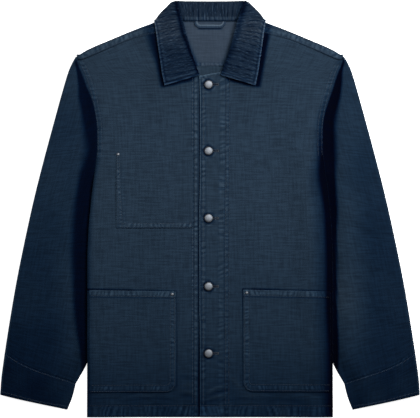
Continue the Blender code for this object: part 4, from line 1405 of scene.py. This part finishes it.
def make_collar():
    half = np.array(COLLAR_ROWS, float)
    places = np.concatenate([half, half[-2::-1] * (-1, 1, 1)])
    fall = places[:, CollarRow._fields.index("fall")]
    _, length = even_steps(fall, 10)
    along, _ = even_steps(fall, int(length / WALE * SIDES_PER_WALE))
    sections = curve_through(places, along)
    across = np.linspace(0, 1, 42)
    x, y, z = np.moveaxis(np.array([curve_through(section, across) for section in sections]), -1, 0)
    on_leaf = ramp(y, 366, 352)
    above = ramp(z, 5.5, 9)
    edge_share = ramp(across, 0.35, 1)[None, :]
    lift = above * (4.4 + on_leaf * (1.0 + 2.8 * edge_share) + 1.2 * (x > 0) * on_leaf)
    z = z + lift
    grid = np.stack([x, y, z], -1)
    normal = outward(grid, True)
    steps = np.linalg.norm(np.diff(curve_through(fall, along), axis=0), axis=1)
    run = np.concatenate([[0], np.cumsum(steps)])
    reach = across[None, :] * COLLAR_ACROSS
    way = (run - run[-1] / 2)[:, None] + 0 * reach
    cords = np.sqrt(np.abs(np.cos(way * math.pi / WALE)) + 0.02)
    wander = way + 1.6 * np.sin(reach / 13 + way / 31) + 0.9 * np.sin(reach / 7.1 - way / 17)
    buckle = ripple(wander, 8.6, 1.3) * (0.5 + 0.5 * ripple(reach + way / 3, 27, 0.4))
    out_of_sight = ramp(z, 4, 9)
    fine = ripple(wander + 0.5 * np.sin(reach / 5), 5.2, 3.1) * (0.5 + 0.5 * ripple(reach - way / 2, 21, 1.4))
    relief = 0.34 * (cords - 0.6) + 0.8 * buckle * out_of_sight * ramp(across, 0.02, 0.16)[None, :]
    leaf_end = np.minimum(run, run[-1] - run)[:, None]
    inset = np.minimum(leaf_end, (1 - across[None, :]) * LEAF_LENGTH)
    groove = hump(inset, 3.6, 1.0)
    puffs = hump(inset, 7.0, 2.6) * np.clip(ripple(way + 0.4 * inset, 6.5, 0.8) + 0.1, 0, 1)
    relief += 0.4 * hump(inset, 1.6, 1.4) + 0.35 * puffs - 0.6 * groove
    grid = grid + normal * (relief * out_of_sight)[..., None]
    # The outer edge rubs pale and the pile is flecked. The puffs and the crests of the buckles are painted
    # lighter, partly as wear and partly as painted highlight.
    wear = 0.85 * hump(inset, 0, 1.3) * (0.75 + 0.25 * ripple(way, 6, 2)) + 0.3 * puffs
    specks = np.clip(ripple(way + 0.7 * reach, 3.7, 0.3) * ripple(reach - 0.4 * way, 5.3, 2.2) - 0.3, 0, 1)
    wear = wear + 0.3 * np.clip(buckle + 0.8 * fine - 0.8, 0, 1) + 0.75 * specks
    # Painted shade: darker between the cords, in the troughs of the buckles and in the stitch groove, and
    # lighter on the buckles' crests.
    folds = np.minimum(np.exp(1.05 * buckle + 0.7 * fine + 0.05), LIGHTEST_FOLD)
    shade = (0.62 + 0.38 * cords) * folds * (1 - 0.55 * groove)
    # Behind the neck the stitched rows rub lighter, and the lines between them are painted dark as shade.
    behind = ramp(np.abs(x), 64, 56) * ramp(y, 366, 365)
    rows = hump(y, 363.0, 0.9) + hump(y, 359.3, 0.9)
    between = hump(y, 361.1, 0.9) + hump(y, 357.2, 1.0)
    wear = wear + 0.32 * rows * behind * (0.7 + 0.5 * ripple(x, 7.5, 1.9))
    shade = shade * (1 - 0.6 * behind * between)
    # The leaves are painted darker low down, the wearer's right one most, and the crease beside the roll is
    # painted dark as shade.
    leaf = ramp(y, 372, 352)
    shade = shade * mix(0.8, mix(np.where(x < 0, 0.56, 0.66), 1.05, ramp(y, 292, 338)), leaf)
    shade = shade * (1 - roll_crease(x, y))
    cut = (np.broadcast_to(way, x.shape), np.broadcast_to(reach, x.shape))
    piece = shell("corduroy_collar", grid, CORDUROY, cord_cloth, flip=True, shade=shade, wear=wear, cut=cut)
    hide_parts("collar")


make_collar()

# %% [markdown]
# ## Inside the neck
# The inside of the back is faced with a paler piece of canvas, seamed across below the neck, and a
# narrow folded strip is caught in the neck seam at both ends as a loop to hang the jacket by.

# %% Make the facing and the loop
FACING_BOTTOM_Y = 271.7
FACING_TOP_Y = 356.4
FACING_LIFT = PLY + 0.3
LOOP_HALF = 27.0
LOOP_WIDTH = 5.6
LOOP_THICK = 1.8
LOOP_TOP_Y = 355.4
LOOP_BAR_Y = 346.6
LOOP_GAP = 1.7


def make_facing():
    ys = stops(FACING_BOTTOM_Y, FACING_TOP_Y, 2.4, 1.2, (FACING_BOTTOM_Y, FACING_TOP_Y), 8)
    xs = np.linspace(-1, 1, 66)
    x, y = np.meshgrid(xs, ys)
    x = x * mix(78, 66, (y - FACING_BOTTOM_Y) / (FACING_TOP_Y - FACING_BOTTOM_Y))
    hem = [(-80, FACING_BOTTOM_Y + 3), (80, FACING_BOTTOM_Y + 3)]
    height, wear = sewn(x, y, [Seam(hem, 3.0, 0.25, 7.0, 0.4, 0.25)])
    z = back_z(x, y) + FACING_LIFT + height + 0.3 * rolling(x, y, 2.0)
    # Painted shade: darker low on the facing, under the collar and in the crease beside the roll, with a
    # painted shadow line below the loop.
    deep = ramp(y, FACING_BOTTOM_Y - 30, FACING_BOTTOM_Y + 25)
    under_collar = ramp(y, FACING_TOP_Y, FACING_TOP_Y - 4)
    ends = ramp(np.abs(x), LOOP_HALF - 1, LOOP_HALF - 7)
    below_loop = hump(y, LOOP_BAR_Y - LOOP_WIDTH / 2 - 1.6, 1.3) * ends
    shade = mix(0.8, 1, deep) * mix(0.75, 1, under_collar) * (1 - roll_crease(x, y)) * (1 - 0.9 * below_loop)
    piece = shell("neck_facing", np.stack([x, y, z], -1), CANVAS, lining, shade=shade, wear=wear)
    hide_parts("back_facing")


make_facing()


def make_loop():
    bend = LOOP_TOP_Y - LOOP_BAR_Y
    turns = np.radians(np.linspace(10, 90, 9))
    start = [(-LOOP_HALF, LOOP_TOP_Y)]
    start += [(-LOOP_HALF + bend * (1 - math.cos(t)), LOOP_TOP_Y - bend * math.sin(t)) for t in turns]
    bar = [(x, LOOP_BAR_Y) for x in np.linspace(start[-1][0], -start[-1][0], 24)[1:-1]]
    path = np.array(start + bar + [(-x, y) for x, y in start[::-1]])
    along = np.gradient(path, axis=0)
    along /= np.linalg.norm(along, axis=1, keepdims=True)
    across = np.stack([-along[:, 1], along[:, 0]], -1)
    shares = np.linspace(-1, 1, 9)
    plan = path[:, None] + across[:, None] * shares[None, :, None] * LOOP_WIDTH / 2
    sag = 0.5 * np.sin(np.linspace(0, math.pi, len(path)))
    stand = FACING_LIFT + REST + LOOP_GAP + LOOP_THICK / 2
    z = back_z(plan[..., 0], plan[..., 1]) + stand + sag[:, None]
    z = z + 0.35 * np.cos(shares * math.pi / 2)[None, :] - 0.25 * hump(np.abs(shares), 0.62, 0.16)
    grid = np.concatenate([plan, z[..., None]], -1)
    # The upper half of the strip is painted lighter as highlight, and the lower half darker as shade.
    upper = np.broadcast_to(shares, z.shape) * np.sign(across[:, 1] + 1e-9)[:, None]
    wear = 0.1 + 0.9 * ramp(upper, 0.0, 0.5)
    shade = mix(0.65, 1.0, ramp(upper, -0.2, 0.45))
    piece = shell("loop_strip", grid, LOOP_THICK, lining, flip=True, shade=shade, wear=wear)
    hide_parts("hanger_loop")


make_loop()

# %% [markdown]
# ## Stitches
# Topstitching is what tells a work jacket from a shirt. Every stitch here is a small raised thread,
# three millimetres from the next, laid on whatever cloth lies under it. A ray dropped on the finished
# shells finds the height, so the thread follows the puckers it made.

# %% Thread
def thread_finish(name, dark, light):
    finish, tree, shader = start_finish(name)
    place = node(tree, "ShaderNodeTexCoord").outputs["Object"]
    tone = streaks(tree, place, (90, 90, 90), 2.0)
    colour = blended(tree, "MIX", tone, dark, light)
    tree.links.new(colour, shader.inputs["Base Color"])
    twist = streaks(tree, place, (2600, 2600, 2600), 1.0)
    roughened(tree, shader, twist, 0.5, 0.0002)
    shader.inputs["Roughness"].default_value = 0.7
    shader.inputs["Sheen Weight"].default_value = 0.1
    return finish


thread = thread_finish("thread", (0.005, 0.010, 0.019, 1), (0.017, 0.030, 0.048, 1))
worn_thread = thread_finish("worn_thread", (0.008, 0.015, 0.027, 1), (0.027, 0.045, 0.068, 1))


def tree_of(names):
    """One search tree over the shells in the list."""
    places, faces = [], []
    for name in names:
        mesh = made_pieces[name].data
        start = len(places)
        places += [vertex.co.copy() for vertex in mesh.vertices]
        faces += [[start + n for n in face.vertices] for face in mesh.polygons]
    return BVHTree.FromPolygons(places, faces)


def walk(line, pitch):
    """Even places along a line, and its direction there."""
    line = np.array(line, float)
    steps = np.linalg.norm(np.diff(line, axis=0), axis=1)
    run = np.concatenate([[0], np.cumsum(steps)])
    at = np.arange(pitch, run[-1] - pitch / 2, pitch)
    places = np.stack([np.interp(at, run, line[:, 0]), np.interp(at, run, line[:, 1])], -1)
    index = np.clip(np.searchsorted(run, at) - 1, 0, len(steps) - 1)
    return places, (np.diff(line, axis=0) / steps[:, None])[index]


RAY_HEIGHT = 0.08
RING = [(math.cos(t), math.sin(t)) for t in np.radians((0, 60, 120, 180, 240, 300))]


def add_thread(points, faces, sections, aside, up, radius):
    """Adds a short closed tube of thread, through rings given as (centre, size) pairs."""
    first, sides = len(points), len(RING)
    for centre, size in sections:
        points += [centre + (aside * a + up * b) * (size * radius) for a, b in RING]
    for ring in range(len(sections) - 1):
        low = first + ring * sides
        for n in range(sides):
            after = (n + 1) % sides
            faces.append((low + n, low + after, low + sides + after, low + sides + n))
    faces.append(tuple(first + n for n in range(sides - 1, -1, -1)))
    faces.append(tuple(len(points) - sides + n for n in range(sides)))


def smooth_mesh(name, points, faces):
    mesh = bpy.data.meshes.new(name)
    mesh.from_pydata(points, [], faces)
    mesh.shade_smooth()
    return mesh


StitchRing = namedtuple("StitchRing", "share size lift")
STITCH_RINGS = (
    StitchRing(-0.5, 0.45, -0.22),
    StitchRing(-0.22, 1.0, 0.12),
    StitchRing(0.22, 1.0, 0.12),
    StitchRing(0.5, 0.45, -0.22),
)
STITCH_PITCH = 3.0
STITCH_LENGTH = 2.3
STITCH_RADIUS = 0.26


def stitches(name, lines, over, finish=thread):
    """Thread laid along plan lines on top of the cloth."""
    search = tree_of(over)
    points, faces = [], []
    for line in lines:
        for (x, y), along in zip(*walk(line, STITCH_PITCH)):
            start = Vector((x * MM, y * MM, RAY_HEIGHT))
            place, normal, _, _ = search.ray_cast(start, Vector((0, 0, -1)))
            if place is None:
                continue
            if normal.z < 0:
                normal = -normal
            forward = Vector((along[0], along[1], 0))
            forward = (forward - normal * forward.dot(normal)).normalized()
            sections = [
                (place + (forward * (ring.share * STITCH_LENGTH) + normal * ring.lift) * MM, ring.size)
                for ring in STITCH_RINGS
            ]
            add_thread(points, faces, sections, normal.cross(forward), normal, STITCH_RADIUS * MM)
    return dress(name, smooth_mesh(name, points, faces), finish)


def mirror(line):
    return [(-x, y) for x, y in line]


# %% Sew the seams
front_lines = [[(-12.8, 248), (-12.8, -372)], [(30.4, 262), (30.2, 120), (29.2, -60), (29.0, -372)]]
front_lines += [[(37.6, 262), (37.0, 120), (36.0, -60), (35.8, -372)]]
front_lines += [[(-18, 246.6), (0, 250.2), (18.8, 253.4), (30, 258)], [(-21, -373.6), (231, -373.6)]]
stitches("left_front_stitches", front_lines + [armhole_line(1.6), armhole_line(8.8)], ["left_front_panel"])
front_lines = [[(28.4, 250), (28.4, -372)], [(33.0, 250), (33.0, -372)], [(22.5, -373.6), (231, -373.6)]]
front_lines += [armhole_line(1.6), armhole_line(8.8)]
stitches("right_front_stitches", [mirror(line) for line in front_lines], ["right_front_panel"])
shoulder_lines = [shoulder_line(2.2), shoulder_line(12.4)]
stitches("shoulder_stitches", shoulder_lines + [mirror(line) for line in shoulder_lines], ["back_panel"])
for pocket, kind, way in ((LOWER_LEFT, "left", 1), (LOWER_RIGHT, "right", -1), (CHEST, "chest", -1)):
    if kind == "chest":
        lines = [[(172.4, 104), (170.6, 40), (166.2, -26)], [(176.2, 104), (175, 40), (171.5, -30)]]
        lines += [[(34, -27.6), (168, -27.2)], [(34, -34.6), (172, -34.2)]]
    else:
        lines = [pocket_edge(pocket, 2.6, 1.8), pocket_edge(pocket, 10.6, 13.4)]
        lines += [[(pocket.inner_x + 1, pocket.inner_top_y - 10.2),
                   (pocket.outer_x - 1, pocket.outer_top_y - 10.2)]]
    lines = lines if way > 0 else [mirror(line) for line in lines]
    stitches(kind + "_patch_stitches", lines, [kind + "_patch"], worn_thread if kind == "chest" else thread)
for word, way in (("left", 1), ("right", -1)):
    lines = [[(x, y - 2.5) for x, y in CUFF_LINE], CUFF_HEM]
    lines = lines if way > 0 else [mirror(line) for line in lines]
    stitches(word + "_cuff_stitches", lines, [word + "_cuff_band"], worn_thread)

# %% Buttonholes
close_thread = thread_finish("close_thread", (0.004, 0.008, 0.014, 1), (0.010, 0.018, 0.028, 1))
HOLE_STITCHES = 64
HOLE_LIP = 1.5
HOLE_LIFT = 0.25
HOLE_STITCH = 1.7
HOLE_RADIUS = 0.33


def make_buttonholes():
    """A ring of close thread round each slit."""
    search = tree_of(["left_front_panel"])
    up = Vector((0, 0, 1))
    points, faces = [], []
    for hole_y in BUTTON_YS:
        for n in range(HOLE_STITCHES):
            turn = math.tau * n / HOLE_STITCHES
            x = HOLE_X + HOLE_HALF * max(-1, min(1, 1.25 * math.cos(turn)))
            y = hole_y + HOLE_LIP * max(-1, min(1, 1.7 * math.sin(turn)))
            across = Vector((math.cos(turn) * 0.5, math.sin(turn), 0)).normalized()
            place = search.ray_cast(Vector((x * MM, y * MM, RAY_HEIGHT)), -up)[0]
            middle = Vector((x * MM, y * MM, place.z + HOLE_LIFT * MM))
            rings = ((-0.5, 0.5), (0, 1), (0.5, 0.5))
            sections = [(middle + across * (share * HOLE_STITCH * MM), size) for share, size in rings]
            add_thread(points, faces, sections, across.cross(up), up, HOLE_RADIUS * MM)
    return dress("buttonhole_stitches", smooth_mesh("buttonholes", points, faces), close_thread)


make_buttonholes()

# %% [markdown]
# ## Buttons and rivets
# The buttons are pressed gunmetal with a shallow dome inside a raised rim, and the pocket corners are
# held by small round rivets. Both are turned shapes: a profile carried round an axis.

# %% Gunmetal
def gunmetal():
    finish, tree, shader = start_finish("button_metal")
    place = node(tree, "ShaderNodeTexCoord").outputs["Object"]
    cloudy = streaks(tree, place, (260, 260, 260), 4.0)
    scratches = streaks(tree, place, (2400, 180, 800), 2.0)
    tone = sums(tree, "ADD", sums(tree, "MULTIPLY", cloudy, 0.6), sums(tree, "MULTIPLY", scratches, 0.4))
    colour = blended(tree, "MIX", tone, (0.105, 0.115, 0.13, 1), (0.225, 0.243, 0.27, 1))
    # The rings' shade is painted shade, darkest round the rim and underneath.
    painted_metal_shade = node(tree, "ShaderNodeAttribute", attribute_name="shade").outputs["Fac"]
    grey = node(tree, "ShaderNodeCombineColor", {0: painted_metal_shade, 1: painted_metal_shade, 2: painted_metal_shade}).outputs[0]
    tree.links.new(blended(tree, "MULTIPLY", 1.0, colour, grey), shader.inputs["Base Color"])
    rough = node(tree, "ShaderNodeMapRange", {0: tone, 3: 0.5, 4: 0.66}).outputs[0]
    tree.links.new(rough, shader.inputs["Roughness"])
    roughened(tree, shader, scratches, 0.25, 0.0001)
    shader.inputs["Metallic"].default_value = 1.0
    return finish


metal = gunmetal()
# Each ring: its radius, its height, and the painted shade there.
ButtonRing = namedtuple("ButtonRing", "radius height shade")
BUTTON_RINGS = (
    ButtonRing(0.0, 3.3, 1.0),
    ButtonRing(1.8, 3.26, 1.0),
    ButtonRing(3.6, 3.12, 1.0),
    ButtonRing(5.2, 2.88, 1.0),
    ButtonRing(6.3, 2.6, 0.95),
    ButtonRing(7.0, 2.3, 0.8),
    ButtonRing(7.4, 1.95, 0.4),
    ButtonRing(7.7, 1.75, 0.12),
    ButtonRing(8.1, 1.75, 0.14),
    ButtonRing(8.4, 1.5, 0.12),
    ButtonRing(8.5, 1.1, 0.1),
    ButtonRing(8.3, 0.7, 0.1),
    ButtonRing(7.9, 0.5, 0.1),
    ButtonRing(3.0, 0.3, 0.1),
    ButtonRing(0.0, 0.3, 0.1),
)
RIVET_RINGS = (
    ButtonRing(0.0, 1.5, 1.0),
    ButtonRing(0.8, 1.45, 1.0),
    ButtonRing(1.6, 1.25, 0.9),
    ButtonRing(2.2, 0.95, 0.8),
    ButtonRing(2.7, 0.5, 0.5),
    ButtonRing(2.9, 0.1, 0.3),
    ButtonRing(2.7, -0.2, 0.3),
    ButtonRing(0.0, -0.2, 0.3),
)


FEELER = 5


def turned(name, rings, sides, x, y, over, node_name):
    """A turned shape standing on the cloth at (x, y), tilted with it."""
    search = tree_of(over)
    down = Vector((0, 0, -1))
    steps = ((0, 0), (FEELER, 0), (-FEELER, 0), (0, FEELER), (0, -FEELER))
    starts = [Vector(((x + a) * MM, (y + b) * MM, RAY_HEIGHT)) for a, b in steps]
    hits = [search.ray_cast(start, down)[0] for start in starts]
    lean_x = (hits[1].z - hits[2].z) / (2 * FEELER * MM)
    lean_y = (hits[3].z - hits[4].z) / (2 * FEELER * MM)
    foot = max(hit.z for hit in hits)
    upright = Vector((-lean_x, -lean_y, 1)).normalized()
    turn = Vector((0, 0, 1)).rotation_difference(upright)
    points, shades, faces = [], [], []
    for ring in rings:
        for n in range(sides if ring.radius else 1):
            angle = math.tau * n / sides
            place = Vector((ring.radius * math.cos(angle), ring.radius * math.sin(angle), ring.height)) * MM
            points.append(turn @ place + Vector((x * MM, y * MM, foot)))
            shades.append(ring.shade)
    for n in range(sides):
        after = (n + 1) % sides
        faces.append((0, 1 + n, 1 + after))
        for ring in range(len(rings) - 3):
            low = 1 + ring * sides
            faces.append((low + n, low + sides + n, low + sides + after, low + after))
        low = 1 + (len(rings) - 3) * sides
        faces.append((low + n, low + sides, low + after))
    mesh = smooth_mesh(name, points, faces)
    mesh.attributes.new("shade", "FLOAT", "POINT").data.foreach_set("value", np.array(shades, np.float32))
    piece = dress(name, mesh, metal)
    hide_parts(node_name)


for number, button_y in enumerate(BUTTON_YS, 1):
    name = f"metal_button_{number}"
    turned(name, BUTTON_RINGS, 40, BUTTON_X, button_y, ["left_front_panel"], f"button_{number}")
turned("chest_rivet", RIVET_RINGS, 24, -174.2, 104.0, ["chest_patch", "right_front_panel"], "rivet_chest")
turned("left_rivet", RIVET_RINGS, 24, 70.0, -159.0, ["left_patch", "left_front_panel"], "rivet_left")
turned("right_rivet", RIVET_RINGS, 24, -71.6, -162.0, ["right_patch", "right_front_panel"], "rivet_right")

# %% [markdown]
# ## Floor, light and camera
# The jacket lies on a plain white floor, under a broad soft light from above and towards the collar.
# The light is strongest at the chest and falls away to the hem. The camera looks straight down from
# far away through a long lens, so that nothing leans and the outline stays true.

# %% Floor
def make_floor():
    mesh = bpy.data.meshes.new("floor")
    half = 6.0
    corners = [(-half, -half, 0), (half, -half, 0), (half, half, 0), (-half, half, 0)]
    mesh.from_pydata(corners, [], [(0, 1, 2, 3)])
    floor = bpy.data.objects.new("floor", mesh)
    bpy.context.scene.collection.objects.link(floor)
    paper = bpy.data.materials.new("white_paper")
    paper.use_nodes = True
    tree = paper.node_tree
    place = node(tree, "ShaderNodeTexCoord").outputs["Object"]
    grain = streaks(tree, place, (40, 40, 40), 2.0)
    colour = blended(tree, "MIX", grain, (0.90, 0.90, 0.90, 1), (0.94, 0.94, 0.94, 1))
    shader = tree.nodes["Principled BSDF"]
    tree.links.new(colour, shader.inputs["Base Color"])
    shader.inputs["Roughness"].default_value = 0.9
    shader.inputs["Emission Color"].default_value = (1, 1, 1, 1)
    shader.inputs["Emission Strength"].default_value = 0.85
    mesh.materials.append(paper)


make_floor()

# %% Lights
def soft_light(name, place, aim, size, power, spread):
    lamp = bpy.data.lights.new(name, "AREA")
    lamp.shape = "DISK"
    lamp.size = size
    lamp.energy = power
    lamp.spread = math.radians(spread)
    light = bpy.data.objects.new(name, lamp)
    light.location = place
    light.rotation_mode = "QUATERNION"
    light.rotation_quaternion = (Vector(aim) - Vector(place)).to_track_quat("-Z", "Y")
    bpy.context.scene.collection.objects.link(light)


soft_light("key", (0.30, 0.50, 1.15), (0.04, 0.10, 0), 0.6, 12.6, 140)
soft_light("left_side", (-1.5, 0.35, 0.55), (0, 0.05, 0), 0.5, 3.6, 120)
soft_light("right_side", (1.5, 0.45, 0.6), (0, 0.05, 0), 0.5, 5.2, 120)
world = bpy.data.worlds.new("studio")
bpy.context.scene.world = world
world.use_nodes = True
background = world.node_tree.nodes["Background"]
background.inputs["Color"].default_value = (0.92, 0.95, 1.0, 1)
background.inputs["Strength"].default_value = 0.2
bpy.context.scene.view_settings.view_transform = "Standard"

# %% Camera
CAMERA_HEIGHT = 8.0
FRAME_WIDTH = 0.798
SENSOR_WIDTH = 36.0
lens = bpy.data.cameras.new("camera")
lens.sensor_width = SENSOR_WIDTH
lens.lens = SENSOR_WIDTH * CAMERA_HEIGHT / FRAME_WIDTH
camera = bpy.data.objects.new("camera", lens)
camera.location = (0, 0, CAMERA_HEIGHT)
bpy.context.scene.collection.objects.link(camera)
bpy.context.scene.camera = camera

# %% [markdown]
# ## Measure and finish
# Last, the finished jacket's triangles are counted.

# %% Sizes
bpy.context.view_layer.update()
print("triangles:", sum(2 * len(piece.data.polygons) for piece in made_pieces.values()))
